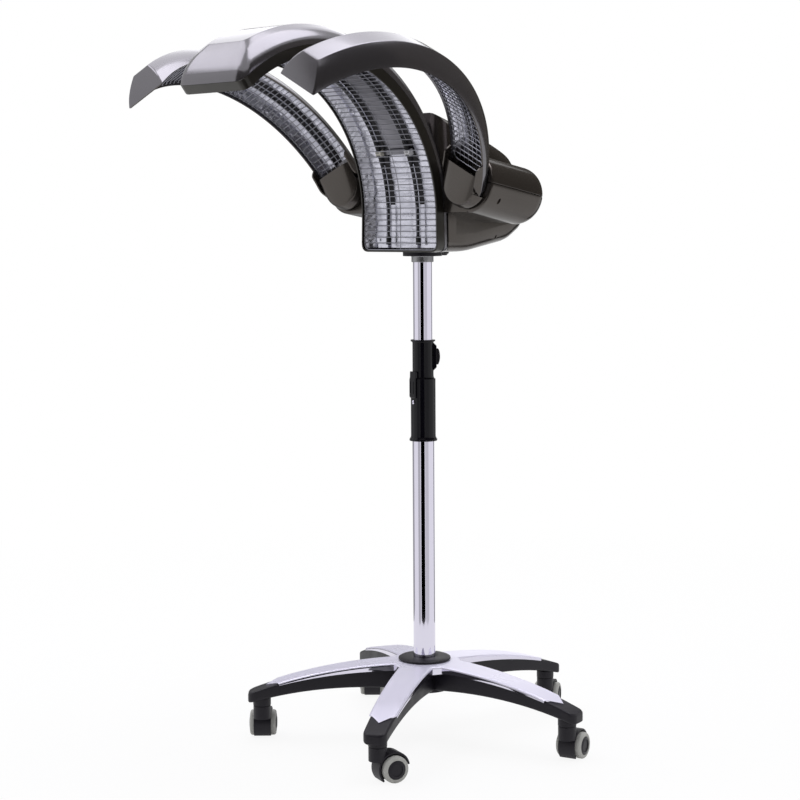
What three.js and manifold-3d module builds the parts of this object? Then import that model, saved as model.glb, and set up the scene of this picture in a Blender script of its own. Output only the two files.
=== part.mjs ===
// Hair colour processor: three heated arms on a telescopic pole with a five-star base.
// Millimetres, +Z up. The origin is on the floor under the pole and -Y is the client's side.
import * as THREE from 'three';
import { ConvexGeometry } from 'three/addons/geometries/ConvexGeometry.js';
import { mergeVertices } from 'three/addons/utils/BufferGeometryUtils.js';
import Module from 'manifold-3d';

const wasm = await Module();
wasm.setup();

// Facets
const ROUND_SIDES = 18;
const SMALL_SIDES = 12;
const BIG_SIDES = 24;
const WHEEL_SIDES = 14;
const ROD_SIDES = 6;
const ELBOW_SIDES = 24;
const LIP_POINTS = 8;
const PATH_STEP = 50;

// Clearances
const GAP = 0.4;
const SLIDE_GAP = 0.3;
const TURN_GAP = 0.9;
const REACH_PAST = 40;
const ROOM_SKIRT = 8;

// Base star
const LEG_COUNT = 5;
const BASE_TURN = 8.5;
const LEG_REACH = 348;
const LEG_ROOT = 40;
const LEG_ROOT_WIDTH = 62;
const LEG_TIP_WIDTH = 44;
const LEG_TIP_ROUND = 14;
const LEG_SHOULDER_RADIUS = 190;
const LEG_POINTS = 4;
const HUB_RADIUS = 52;
const HUB_LIFT = 30;
const HUB_HEIGHT = 55;
const LEG_TIP_HEIGHT = 27;
const LEG_TIP_DROP = 20;
const LEG_ARCH = 23;
const SOCKET_RADIUS = 17.5;
const SOCKET_INSET = 27;
const SOCKET_DEPTH = 20;
const COVER_WALL = 2.5;
const COVER_SKIRT = 15;
const COVER_END = 286;
const COVER_POINT = 16;
const HUB_DISC_RADIUS = 51.5;
const HUB_DISC_HEIGHT = 6;
const PLUG_HEAD_RADIUS = 28;
const PLUG_HEAD_HEIGHT = 6;
const PLUG_LENGTH = 28;

// Casters
const WHEEL_RADIUS = 25;
const WHEEL_WIDTH = 15;
const WHEEL_GAP = 21;
const WHEEL_CLEARANCE = 1.2;
const TREAD_ROUND = 3;
const AXLE_RADIUS = 4;
const CASTER_TRAIL = 26;
const CASTER_HEADROOM = 17;
const HOOD_WALL = 4;
const HOOD_WIDTH = 34;
const HOOD_FRONT_ANGLE = 225;
const HOOD_REAR_ANGLE = 10;
const STEM_RADIUS = 5.5;
const CASTER_TURNS = [102, 117, 132, 132, 69];

// Pole
const LOWER_TUBE_RADIUS = 21.5;
const LOWER_TUBE_LENGTH = 593;
const TUBE_WALL = 1.5;
const UPPER_TUBE_WALL = 1.5;
const TUBE_OVERLAP = 290;
const SLEEVE_WALL = 2.5;
const SLEEVE_GRIP = 102;
const SLEEVE_SEAT = 20;
const SLEEVE_RIM = 3;
const SLEEVE_RIM_HEIGHT = 5;
const COLLAR_HEIGHT = 75;
const COLLAR_WALL = 1.7;
const COLLAR_RIM = 3.4;
const COLLAR_RIM_HEIGHT = 4;
const GUIDE_WALL = 1.4;
const GUIDE_HEIGHT = 24;
const GUIDE_LIP = 6;
const HEAD_RISE = 170;
const NECK_LENGTH = 20;
const NECK_WALL = 2;
const FLANGE_RADIUS = 38;
const FLANGE_HEIGHT = 8;

// Height release on the sleeve
const BUTTON_AZIMUTH = 42;
const BUTTON_BOSS_RISE = 14;
const BUTTON_BOSS_HEIGHT = 56;
const BUTTON_BOSS_WIDTH = 15;
const BUTTON_BOSS_PROUD = 5.9;
const BUTTON_HEIGHT = 31;
const BUTTON_WIDTH = 10;
const BUTTON_PROUD = 6.5;
const BUTTON_TRAVEL = 2.5;
const BUTTON_KEY = 2.7;
const LATCH_AZIMUTH = -98;
const LATCH_DROP = 38;
const LATCH_HEIGHT = 52;
const LATCH_WIDTH = 17;
const LATCH_THICK = 3.5;
const LATCH_HOOK = 3;
const SCREW_DROP = 46;
const SCREW_RADIUS = 3.6;
const SCREW_LENGTH = 5;

// Head casing, with heights above its bottom
const CASE_WALL = 3;
const CASE_SEAM = 0.4;
const CASE_HALF_WIDTH = 100;
const CASE_ROUND = 24;
const CASE_FRONT = -50;
const POD_OFFSET = 155;
const POD_RADIUS = 54.5;
const POD_LENGTH = 172;
const POD_ROUND = 34;
const POD_NOSE = 5;
const POD_FRONT = -40;
const POD_RISE = 128;
const POD_TILT = 9.15;
const BRIDGE_TOP = 24;
const BRIDGE_SETBACK = 42;
const BELLY_END = 50;
const BELLY_KNEE = [135, 3];
const BELLY_TURN = [186, 42];
const REAR_KNEE = [212, 75];
const REAR_TOP = [212, 110];
const SLOPE_FOOT = [204, 140];
const SLOPE_TOP = [158, 189];
const HUMP_KNEE = [100, 217];
const HUMP_TOP = [-10, 249];
const HUMP_FRONT = 261;
const GLAND_Y = 60;
const GLAND_RADIUS = 8.6;
const GLAND_BORE = 4;
const GLAND_DROP = 8;

// Control panel on the casing's rear slope
const PANEL_WIDTH = 92;
const PANEL_HEIGHT = 44;
const PANEL_THICK = 3;
const KNOB_X = -24;
const KNOB_RADIUS = 14;
const KNOB_HEIGHT = 13;
const KNOB_DRAFT = 2;
const SPINDLE_RADIUS = 3;
const SPINDLE_LENGTH = 12;
const SWITCH_X = 26;
const SWITCH_WIDTH = 14;
const SWITCH_HEIGHT = 20;
const SWITCH_PROUD = 3;
const SWITCH_DEPTH = 9;

// Inside the casing
const CHASSIS_WIDTH = 250;
const CHASSIS_LENGTH = 72;
const CHASSIS_THICK = 3;
const CHASSIS_CLEAR = 2;
const BOARD_WIDTH = 130;
const BOARD_LENGTH = 60;
const BOARD_THICK = 1.6;
const BOARD_STANDOFF = 8;

// Heated arms
const SHELL_WALL = 3;
const SIDE_DRAFT = 0.985;
const SIDE_SHARE = 0.3;
const SHOULDER_WIDTH = 0.58;
const SHOULDER_SHARE = 0.72;
const FRAME_DEPTH = 20;
const NET_DEPTH = 3;
const NET_WIRE = 2;
const NET_BORDER = 4;
const NET_CLEARANCE = 1.2;
const NET_PITCH = 11;
const BORDER_STRIDE = 8;
const LAMP_RADIUS = 5;
const LAMP_DEPTH = 13;
const LAMP_END = 14;
const REFLECTOR_DEPTH = 22;
const REFLECTOR_THICK = 1;
const REFLECTOR_EDGE = 2;
const REFLECTOR_SLOPE = 12;
const REFLECTOR_RIM = 7;
const CENTRE_RADIUS = 278;
const CENTRE_AHEAD = 67;
const CENTRE_RISER = 68;
const CENTRE_TIP_ANGLE = 49;
const CENTRE_HALF_WIDTH = 99;
const CENTRE_BAND = 58;
const CENTRE_DEPTH = 58;
const CENTRE_TAPER = 0.15;
const CENTRE_SLANT = 13;
const CENTRE_LAMP_X = 38.5;
const CENTRE_LAMP_SPLIT = 185;
const LAMP_JOINT = 12;
const LAMP_JOINT_WIDTH = 14;
const LAMP_JOINT_STRIP = 2;
const LAMP_JOINT_STANDOFF = 2;
const SIDE_RADIUS = 293;
const SIDE_AHEAD = 8;
const SIDE_AXIS_Z = -115;
const SIDE_TIP_ANGLE = 43;
const SIDE_HALF_WIDTH = 47.4;
const SIDE_BAND = 21;
const SIDE_DEPTH = 37;
const SIDE_SLANT = 7;
const SIDE_LEAN = 26.5;

// Elbows and their pivots
const ELBOW_RADIUS = 50;
const ELBOW_ROUND = 8;
const ELBOW_BULGE = 12;
const ELBOW_BOW = 12;
const ELBOW_FORWARD = 13;
const ELBOW_TOP = 34;
const ELBOW_FLANGE = 8;
const ELBOW_POCKET_WIDTH = 56;
const ELBOW_POCKET_LIP = 3;
const ELBOW_POCKET_BACK = 3;
const ELBOW_POCKET_DEPTH = 18;
const WIRE_BORE = 8;
const PIVOT_RADIUS = 16;
const PIVOT_LENGTH = 46;

// Finishes
const TAUPE = { color: 0x4a4642, roughness: 0.28, metalness: 0.15 };
const TAUPE_DARK = { color: 0x2b2926, roughness: 0.35, metalness: 0.1 };
const CHROME = { color: 0xd9d6e4, roughness: 0.08, metalness: 1 };
const BLACK_GLOSS = { color: 0x0d0b12, roughness: 0.2, metalness: 0 };
const BLACK_PLASTIC = { color: 0x1a1620, roughness: 0.5, metalness: 0 };
const TREAD_GREY = { color: 0xa9a9a2, roughness: 0.7, metalness: 0 };
const FOIL = { color: 0xc9c9d2, roughness: 0.25, metalness: 1 };
const WIRE = { color: 0xb9b9c0, roughness: 0.3, metalness: 1 };
const QUARTZ = { color: 0x3a3a40, roughness: 0.15, metalness: 0 };
const STEEL = { color: 0x9a9a9c, roughness: 0.4, metalness: 1 };
const CERAMIC = { color: 0xd8d4c8, roughness: 0.6, metalness: 0 };
const BOARD_GREEN = { color: 0x1f5a38, roughness: 0.6, metalness: 0 };

// Heights from the floor up: casters, star, pole, sleeve and head
const SOCKET_BOTTOM = 2 * WHEEL_RADIUS + CASTER_HEADROOM;
const LEG_TIP_TOP = SOCKET_BOTTOM + LEG_TIP_HEIGHT;
const HUB_BOTTOM = SOCKET_BOTTOM + HUB_LIFT;
const HUB_TOP = HUB_BOTTOM + HUB_HEIGHT;
const LOWER_TUBE_TOP = HUB_BOTTOM + LOWER_TUBE_LENGTH;
const UPPER_TUBE_BOTTOM = LOWER_TUBE_TOP - TUBE_OVERLAP;
const SLEEVE_BOTTOM = LOWER_TUBE_TOP - SLEEVE_GRIP;
const SLEEVE_TOP = LOWER_TUBE_TOP + SLEEVE_SEAT;
const COLLAR_TOP = SLEEVE_TOP + COLLAR_HEIGHT;
const BUTTON_BOSS_BOTTOM = SLEEVE_TOP + BUTTON_BOSS_RISE;
const LATCH_BOTTOM = SLEEVE_TOP - LATCH_DROP;
const SCREW_Z = SLEEVE_TOP - SCREW_DROP;
const HEAD_BOTTOM = COLLAR_TOP + HEAD_RISE;
const NECK_BOTTOM = HEAD_BOTTOM - NECK_LENGTH;
const POD_HEIGHT = HEAD_BOTTOM + POD_RISE;

// Radii of the pole, from the outside tube inwards and out again
const UPPER_TUBE_RADIUS = LOWER_TUBE_RADIUS - TUBE_WALL - GUIDE_WALL;
const COLLAR_RADIUS = UPPER_TUBE_RADIUS + SLIDE_GAP + COLLAR_WALL;
const NECK_RADIUS = UPPER_TUBE_RADIUS + TURN_GAP + NECK_WALL;
const BUTTON_BOSS_FACE = COLLAR_RADIUS + BUTTON_BOSS_PROUD;
const BUTTON_FACE = BUTTON_BOSS_FACE + BUTTON_PROUD;
const POCKET_FLOOR = BUTTON_BOSS_FACE - BUTTON_TRAVEL - BUTTON_KEY - GAP;

// Solids from three.js geometry, and back again
function signedVolume(position, index) {
  const [a, b, c] = [new THREE.Vector3(), new THREE.Vector3(), new THREE.Vector3()];
  let total = 0;
  for (let i = 0; i < index.length; i += 3) {
    a.fromBufferAttribute(position, index[i]);
    b.fromBufferAttribute(position, index[i + 1]);
    c.fromBufferAttribute(position, index[i + 2]);
    total += a.dot(b.cross(c));
  }
  return total;
}

function solid(geometry) {
  const bare = new THREE.BufferGeometry();
  bare.setAttribute('position', geometry.attributes.position.clone());
  if (geometry.index) bare.setIndex(geometry.index.clone());
  const merged = mergeVertices(bare, 1e-3);
  const triangles = [];
  for (let i = 0; i < merged.index.count; i += 3) {
    const [a, b, c] = [0, 1, 2].map((k) => merged.index.getX(i + k));
    if (a !== b && b !== c && c !== a) triangles.push(a, b, c);
  }
  if (signedVolume(merged.attributes.position, triangles) < 0) triangles.reverse();
  return new wasm.Manifold(new wasm.Mesh({
    numProp: 3,
    vertProperties: new Float32Array(merged.attributes.position.array),
    triVerts: new Uint32Array(triangles),
  }));
}

function geometryOf(manifold) {
  const mesh = manifold.getMesh();
  const geometry = new THREE.BufferGeometry();
  geometry.setAttribute('position', new THREE.BufferAttribute(new Float32Array(mesh.vertProperties), 3));
  geometry.setIndex(new THREE.BufferAttribute(new Uint32Array(mesh.triVerts), 1));
  geometry.computeVertexNormals();
  return geometry;
}

function union(...solids) {
  return solids.reduce((whole, next) => whole.add(next));
}

// A named mesh with its own material
function piece(name, manifold, finish) {
  const mesh = new THREE.Mesh(geometryOf(manifold), new THREE.MeshStandardMaterial(finish));
  mesh.name = name;
  return mesh;
}

function placed(geometry, x, y, z) {
  return solid(geometry.translate(x, y, z));
}

function box(x, y, z, width, length, height) {
  return placed(new THREE.BoxGeometry(width, length, height), x, y, z);
}

// A solid of revolution about Z from [radius, height] corners, closed on itself or on the axis
function turned(profile, sides = ROUND_SIDES) {
  const points = profile.map(([r, z]) => new THREE.Vector2(r, z));
  const onAxis = profile[0][0] === 0 && profile[profile.length - 1][0] === 0;
  if (!onAxis) points.push(points[0].clone());
  return solid(new THREE.LatheGeometry(points, sides).rotateX(Math.PI / 2));
}

function cylinder(radius, from, to, sides = ROUND_SIDES) {
  return turned([[0, from], [radius, from], [radius, to], [0, to]], sides);
}

function ring(inner, outer, from, to, sides = ROUND_SIDES) {
  return turned([[inner, from], [outer, from], [outer, to], [inner, to]], sides);
}

// The same shapes turned to run along Y, or along X
function alongY(manifold) {
  return solid(geometryOf(manifold).rotateX(-Math.PI / 2));
}

function alongX(manifold) {
  return solid(geometryOf(manifold).rotateY(Math.PI / 2));
}

function radians(degrees) {
  return THREE.MathUtils.degToRad(degrees);
}

function turnedAbout(manifold, degrees) {
  return solid(geometryOf(manifold).rotateZ(radians(degrees)));
}

// A YZ outline given as [y, z] corners, extruded across X about the middle
function slab(outline, width) {
  const shape = new THREE.Shape(outline.map(([y, z]) => new THREE.Vector2(y, z)));
  const geometry = new THREE.ExtrudeGeometry(shape, { depth: width, bevelEnabled: false });
  return solid(geometry.translate(0, 0, -width / 2).applyMatrix4(OUTLINE_TO_YZ));
}

const OUTLINE_TO_YZ = new THREE.Matrix4().makeBasis(
  new THREE.Vector3(0, 1, 0),
  new THREE.Vector3(0, 0, 1),
  new THREE.Vector3(1, 0, 0),
);

// A closed body through rings of points that all follow the same flat outline
function loft(rings, outline) {
  const count = outline.length;
  const position = rings.flat().flatMap((p) => [p.x, p.y, p.z]);
  const caps = THREE.ShapeUtils.triangulateShape(outline.map(([w, d]) => new THREE.Vector2(w, d)), []);
  const last = (rings.length - 1) * count;
  const index = [];
  for (const [a, b, c] of caps) index.push(a, b, c, last + c, last + b, last + a);
  for (let i = 0; i < rings.length - 1; i += 1) {
    for (let j = 0; j < count; j += 1) {
      const k = (j + 1) % count;
      const [here, next] = [i * count, (i + 1) * count];
      index.push(here + j, next + j, here + k, here + k, next + j, next + k);
    }
  }
  const geometry = new THREE.BufferGeometry();
  geometry.setAttribute('position', new THREE.Float32BufferAttribute(position, 3));
  geometry.setIndex(index);
  return solid(geometry);
}

// The angle of a path that starts straight up
const STRAIGHT_UP = 180;

// The path of a heated arm in its own YZ plane: a straight riser, then an arc over to the tip
class ArmPath {
  constructor({ axisY, axisZ, radius, startAngle, tipAngle, riser, taper }) {
    Object.assign(this, { axisY, axisZ, radius, startAngle, tipAngle, riser, taper });
    this.length = riser + radius * radians(startAngle - tipAngle);
  }

  // The point at a distance along the path, a depth outward and a share of the width across
  point(distance, across, depth) {
    const run = Math.max(distance - this.riser, 0);
    const drop = Math.max(this.riser - distance, 0);
    const angle = radians(this.startAngle) - run / this.radius;
    const reach = this.radius + depth;
    const narrowing = 1 - this.taper * Math.max(distance, 0) / this.length;
    const y = this.axisY - reach * Math.cos(angle);
    return new THREE.Vector3(across * narrowing, y, this.axisZ + reach * Math.sin(angle) - drop);
  }

  // Stops from one end to the other, on one grid so that nested bodies share their facets
  stations(from, to) {
    const stops = [from];
    const first = this.startAngle === STRAIGHT_UP ? 0 : Math.ceil((from - this.riser) / PATH_STEP);
    for (let stop = this.riser + first * PATH_STEP; stop < to - GAP; stop += PATH_STEP) {
      if (stop > from + GAP) stops.push(stop);
    }
    stops.push(to);
    return stops;
  }

  // A body of constant outline along the path, whose tip end is set back more with depth
  sweep(outline, from, to, { slant = 0, slantFrom = 0 } = {}) {
    const stops = this.stations(from, to);
    const ring = (stop) => outline.map(([across, depth]) => {
      const end = to - this.radius * radians(slant * (depth - slantFrom));
      return this.point(stop === to ? end : Math.min(stop, end), across, depth);
    });
    return loft(stops.map(ring), outline);
  }

  // A round rod along the path
  rod(across, depth, radius, from, to) {
    const outline = [];
    for (let i = 0; i < ROD_SIDES; i += 1) {
      const turn = 2 * Math.PI * i / ROD_SIDES;
      outline.push([across + radius * Math.cos(turn), depth + radius * Math.sin(turn)]);
    }
    return this.sweep(outline, from, to);
  }

  // A flat net: a border, cross wires at a steady pitch and wires along the arm
  net(halfWidth, from, to, columns) {
    const rows = Math.round((to - from - 2 * NET_BORDER) / NET_PITCH);
    const alongEdges = bars(from, to, rows, NET_BORDER, NET_WIRE);
    const acrossEdges = bars(-halfWidth, halfWidth, columns, NET_BORDER, NET_WIRE);
    const corner = (i, j, depth) => this.point(alongEdges[i], acrossEdges[j], depth);
    return lattice(alongEdges.length, acrossEdges.length, corner);
  }
}

// Edges of the bars and gaps between two ends: wide bars at the ends, thin ones between the gaps
function bars(from, to, gaps, border, wire) {
  const gap = (to - from - 2 * border - (gaps - 1) * wire) / gaps;
  const edges = [from];
  for (let i = 0; i < gaps; i += 1) {
    const start = from + border + i * (gap + wire);
    edges.push(start, start + gap);
  }
  edges.push(to);
  return edges;
}

// A closed lattice of cells, open wherever an odd row meets an odd column
function lattice(rowEdges, columnEdges, corner) {
  const depths = [NET_DEPTH, NET_DEPTH + NET_WIRE];
  const position = [];
  const index = [];
  const known = new Map();
  const at = ([i, j], level) => {
    const key = `${i} ${j} ${level}`;
    if (!known.has(key)) {
      known.set(key, position.length / 3);
      position.push(...corner(i, j, depths[level]).toArray());
    }
    return known.get(key);
  };
  const [lastRow, lastColumn] = [rowEdges - 2, columnEdges - 2];
  const isBar = (i, j) => {
    const inside = i >= 0 && j >= 0 && i <= lastRow && j <= lastColumn;
    return inside && !(i % 2 === 1 && j % 2 === 1);
  };
  const face = (corners) => {
    for (let k = 1; k < corners.length - 1; k += 1) {
      const [a, b, c] = [corners[0], corners[k], corners[k + 1]];
      index.push(at(a, 1), at(b, 1), at(c, 1), at(c, 0), at(b, 0), at(a, 0));
    }
  };
  const wall = (a, b) => index.push(at(a, 0), at(b, 0), at(b, 1), at(a, 0), at(b, 1), at(a, 1));
  for (let i = 0; i <= lastRow; i += 1) {
    for (let j = 0; j <= lastColumn; j += 1) {
      if (!isBar(i, j)) continue;
      const inner = j > 0 && j < lastColumn;
      if (inner) face([[i, j], [i + 1, j], [i + 1, j + 1], [i, j + 1]]);
      if (!isBar(i - 1, j)) wall([i, j + 1], [i, j]);
      if (!isBar(i + 1, j)) wall([i + 1, j], [i + 1, j + 1]);
      if (j > 0 && !isBar(i, j - 1)) wall([i, j], [i + 1, j]);
      if (j < lastColumn && !isBar(i, j + 1)) wall([i + 1, j + 1], [i, j + 1]);
    }
  }
  // The two long borders keep only every few corners on their outer edges
  for (let i = 0; i <= lastRow; i += BORDER_STRIDE) {
    const end = Math.min(i + BORDER_STRIDE, lastRow + 1);
    const rows = Array.from({ length: end - i + 1 }, (_, k) => i + k);
    const edge = columnEdges - 1;
    face([[i, 0], [end, 0], ...rows.map((row) => [row, 1]).reverse()]);
    face([[i, edge], ...rows.map((row) => [row, edge - 1]), [end, edge]]);
    wall([i, 0], [end, 0]);
    wall([end, edge], [i, edge]);
  }
  const geometry = new THREE.BufferGeometry();
  geometry.setAttribute('position', new THREE.Float32BufferAttribute(position, 3));
  geometry.setIndex(index);
  return solid(geometry);
}

// A hooded outline: straight sides, sloping shoulders and a flat band, grown by a margin
function hoodOutline(halfWidth, band, depth, base, grow, reach = 0) {
  const rise = depth - base;
  const right = [
    [halfWidth + grow, base - reach],
    [halfWidth * SIDE_DRAFT + grow, base + rise * SIDE_SHARE + grow],
    [band + (halfWidth - band) * SHOULDER_WIDTH + grow, base + rise * SHOULDER_SHARE + grow],
    [band + grow, depth + grow],
  ];
  const left = right.map(([w, d]) => [-w, d]).reverse();
  return [...right, ...left];
}

// Base

function legTop(lift) {
  const rise = new THREE.QuadraticBezierCurve(
    new THREE.Vector2(0, HUB_TOP + lift),
    new THREE.Vector2(LEG_SHOULDER_RADIUS, HUB_TOP + lift),
    new THREE.Vector2(LEG_REACH, LEG_TIP_TOP + lift),
  );
  return rise.getPoints(LEG_POINTS);
}

function legUnderside() {
  const arch = new THREE.QuadraticBezierCurve(
    new THREE.Vector2(LEG_REACH, LEG_TIP_TOP - LEG_TIP_DROP),
    new THREE.Vector2(LEG_SHOULDER_RADIUS, HUB_BOTTOM + LEG_ARCH),
    new THREE.Vector2(0, HUB_BOTTOM),
  );
  return arch.getPoints(LEG_POINTS);
}

// One leg along +X from a side outline and a plan outline
function legBody(side, plan, grow) {
  const width = LEG_ROOT_WIDTH + 2 * grow + REACH_PAST;
  const flank = new THREE.ExtrudeGeometry(new THREE.Shape(side), { depth: width, bevelEnabled: false });
  flank.translate(0, 0, -width / 2).rotateX(Math.PI / 2);
  const height = HUB_TOP + REACH_PAST;
  const footprint = new THREE.ExtrudeGeometry(plan, { depth: height, bevelEnabled: false, curveSegments: 2 });
  return solid(flank).intersect(solid(footprint));
}

function legHalfWidth(reach, grow) {
  const share = Math.max(reach - LEG_ROOT, 0) / (LEG_REACH - LEG_ROOT);
  return (LEG_ROOT_WIDTH + (LEG_TIP_WIDTH - LEG_ROOT_WIDTH) * share) / 2 + grow;
}

function leg(grow) {
  const root = legHalfWidth(LEG_ROOT, grow);
  const tip = legHalfWidth(LEG_REACH, grow);
  const end = LEG_REACH + grow;
  const plan = new THREE.Shape();
  plan.moveTo(0, -root);
  plan.lineTo(LEG_ROOT, -root);
  plan.lineTo(end - LEG_TIP_ROUND, -tip);
  plan.quadraticCurveTo(end, -tip, end, -tip + LEG_TIP_ROUND);
  plan.lineTo(end, tip - LEG_TIP_ROUND);
  plan.quadraticCurveTo(end, tip, end - LEG_TIP_ROUND, tip);
  plan.lineTo(LEG_ROOT, root);
  plan.lineTo(0, root);
  return legBody([...legTop(grow), ...legUnderside()], plan, grow);
}

function coverLeg(grow) {
  const root = legHalfWidth(LEG_ROOT, grow);
  const end = legHalfWidth(COVER_END, grow);
  const plan = new THREE.Shape();
  plan.moveTo(0, -root);
  plan.lineTo(LEG_ROOT, -root);
  plan.lineTo(COVER_END, -end);
  plan.lineTo(COVER_END + COVER_POINT, 0);
  plan.lineTo(COVER_END, end);
  plan.lineTo(LEG_ROOT, root);
  plan.lineTo(0, root);
  const skirt = legTop(-COVER_SKIRT).reverse();
  return legBody([...legTop(grow), ...skirt], plan, grow);
}

function around(count, start, make) {
  return Array.from({ length: count }, (_, i) => turnedAbout(make(i), start + 360 * i / count));
}

const STEM_REACH = LEG_REACH - SOCKET_INSET;

function starLeg() {
  const socket = cylinder(SOCKET_RADIUS, SOCKET_BOTTOM, LEG_TIP_TOP - LEG_TIP_DROP / 2, SMALL_SIDES);
  const boreTop = SOCKET_BOTTOM + SOCKET_DEPTH + GAP;
  const bore = cylinder(STEM_RADIUS + GAP, SOCKET_BOTTOM - GAP, boreTop, SMALL_SIDES);
  const foot = socket.translate([STEM_REACH, 0, 0]);
  return leg(0).add(foot).subtract(bore.translate([STEM_REACH, 0, 0]));
}

function baseStar() {
  const hub = cylinder(HUB_RADIUS, HUB_BOTTOM, HUB_TOP, BIG_SIDES);
  const bore = cylinder(LOWER_TUBE_RADIUS + GAP, HUB_BOTTOM - GAP, HUB_TOP + GAP);
  return union(hub, ...around(LEG_COUNT, BASE_TURN, starLeg)).subtract(bore);
}

function baseCover() {
  const outer = GAP + COVER_WALL;
  const cap = cylinder(HUB_RADIUS + outer, HUB_TOP - COVER_SKIRT, HUB_TOP + outer, BIG_SIDES);
  const core = cylinder(HUB_RADIUS + GAP, HUB_BOTTOM, HUB_TOP + GAP, BIG_SIDES);
  const skin = union(cap, ...around(LEG_COUNT, BASE_TURN, () => coverLeg(outer)));
  const filled = union(core, ...around(LEG_COUNT, BASE_TURN, () => leg(GAP)));
  const bore = cylinder(LOWER_TUBE_RADIUS + GAP, HUB_BOTTOM, HUB_TOP + outer + GAP);
  return skin.subtract(filled).subtract(bore);
}

function base() {
  const group = new THREE.Group();
  const discBottom = HUB_TOP + 2 * GAP + COVER_WALL;
  const discTop = discBottom + HUB_DISC_HEIGHT;
  const tubeBore = LOWER_TUBE_RADIUS + GAP;
  const disc = turned([
    [tubeBore, discBottom],
    [HUB_DISC_RADIUS, discBottom],
    [HUB_DISC_RADIUS, discBottom + HUB_DISC_HEIGHT / 2],
    [HUB_DISC_RADIUS - HUB_DISC_HEIGHT, discTop],
    [tubeBore, discTop],
  ], BIG_SIDES);
  const plugRadius = LOWER_TUBE_RADIUS - TUBE_WALL - GAP;
  const plug = turned([
    [0, HUB_BOTTOM - GAP - PLUG_HEAD_HEIGHT],
    [PLUG_HEAD_RADIUS, HUB_BOTTOM - GAP - PLUG_HEAD_HEIGHT],
    [PLUG_HEAD_RADIUS, HUB_BOTTOM - GAP],
    [plugRadius, HUB_BOTTOM - GAP],
    [plugRadius, HUB_BOTTOM + PLUG_LENGTH],
    [0, HUB_BOTTOM + PLUG_LENGTH],
  ]);
  const tube = ring(LOWER_TUBE_RADIUS - TUBE_WALL, LOWER_TUBE_RADIUS, HUB_BOTTOM, LOWER_TUBE_TOP);
  group.add(
    piece('base_star', baseStar(), BLACK_PLASTIC),
    piece('base_cover', baseCover(), CHROME),
    piece('hub_disc', disc, BLACK_PLASTIC),
    piece('base_plug', plug, STEEL),
    piece('lower_tube', tube, CHROME),
  );
  return group;
}

// Casters: local +X is the trail and the wheels turn about local Y

function hoodShape(radius) {
  const shape = new THREE.Shape();
  shape.moveTo(0, 0);
  shape.absarc(0, 0, radius, radians(HOOD_REAR_ANGLE), radians(HOOD_FRONT_ANGLE), false);
  return shape;
}

function sector(radius, width) {
  const geometry = new THREE.ExtrudeGeometry(hoodShape(radius), {
    depth: width, bevelEnabled: false, curveSegments: 7,
  });
  return placed(geometry.translate(0, 0, -width / 2).rotateX(Math.PI / 2), CASTER_TRAIL, 0, WHEEL_RADIUS);
}

// The corner radius of a faceted wheel, and of the faceted room that it turns in
const WHEEL_FLATS = Math.cos(Math.PI / WHEEL_SIDES);
const WHEEL_RIM = WHEEL_RADIUS / WHEEL_FLATS;

function casterHood() {
  const inner = (WHEEL_RIM + WHEEL_CLEARANCE) / WHEEL_FLATS;
  const outer = inner + HOOD_WALL;
  const roof = sector(outer, HOOD_WIDTH);
  const wheelRoom = alongY(cylinder(inner, -HOOD_WIDTH, HOOD_WIDTH, WHEEL_SIDES));
  const web = sector(inner + HOOD_WALL / 2, WHEEL_GAP - 2 * GAP);
  const axleHalf = WHEEL_GAP / 2 + WHEEL_WIDTH - GAP;
  const axle = alongY(cylinder(AXLE_RADIUS, -axleHalf, axleHalf, SMALL_SIDES));
  const seat = [CASTER_TRAIL, 0, WHEEL_RADIUS];
  const neck = cylinder(SOCKET_RADIUS - GAP, WHEEL_RADIUS, SOCKET_BOTTOM - GAP, SMALL_SIDES);
  const stem = cylinder(STEM_RADIUS, WHEEL_RADIUS + WHEEL_RADIUS, SOCKET_BOTTOM + SOCKET_DEPTH, SMALL_SIDES);
  const housing = roof.add(neck).subtract(wheelRoom.translate(seat));
  return union(housing, web, stem, axle.translate(seat));
}

// A wheel about local Y, with flats so that one rests on the floor
function casterWheel() {
  const rim = WHEEL_RIM;
  const half = WHEEL_WIDTH / 2;
  const bore = AXLE_RADIUS + SLIDE_GAP;
  return alongY(turnedAbout(turned([
    [bore, -half],
    [rim - TREAD_ROUND, -half],
    [rim, -half + TREAD_ROUND],
    [rim, half - TREAD_ROUND],
    [rim - TREAD_ROUND, half],
    [bore, half],
  ], WHEEL_SIDES), 180 / WHEEL_SIDES));
}

function caster(number, azimuth) {
  const group = new THREE.Group();
  const angle = radians(azimuth);
  group.position.set(STEM_REACH * Math.cos(angle), STEM_REACH * Math.sin(angle), 0);
  group.rotation.z = radians(CASTER_TURNS[number - 1]);
  group.add(piece(`caster_${number}_hood`, casterHood(), BLACK_PLASTIC));
  for (const [side, sign] of [['left', 1], ['right', -1]]) {
    const wheel = piece(`caster_${number}_wheel_${side}`, casterWheel(), TREAD_GREY);
    wheel.position.set(CASTER_TRAIL, sign * (WHEEL_GAP + WHEEL_WIDTH) / 2, WHEEL_RADIUS);
    group.add(wheel);
  }
  return group;
}

// Pole and its height release

const SLEEVE_BORE = LOWER_TUBE_RADIUS + SLIDE_GAP;
const SLEEVE_RADIUS = SLEEVE_BORE + SLEEVE_WALL;

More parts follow.
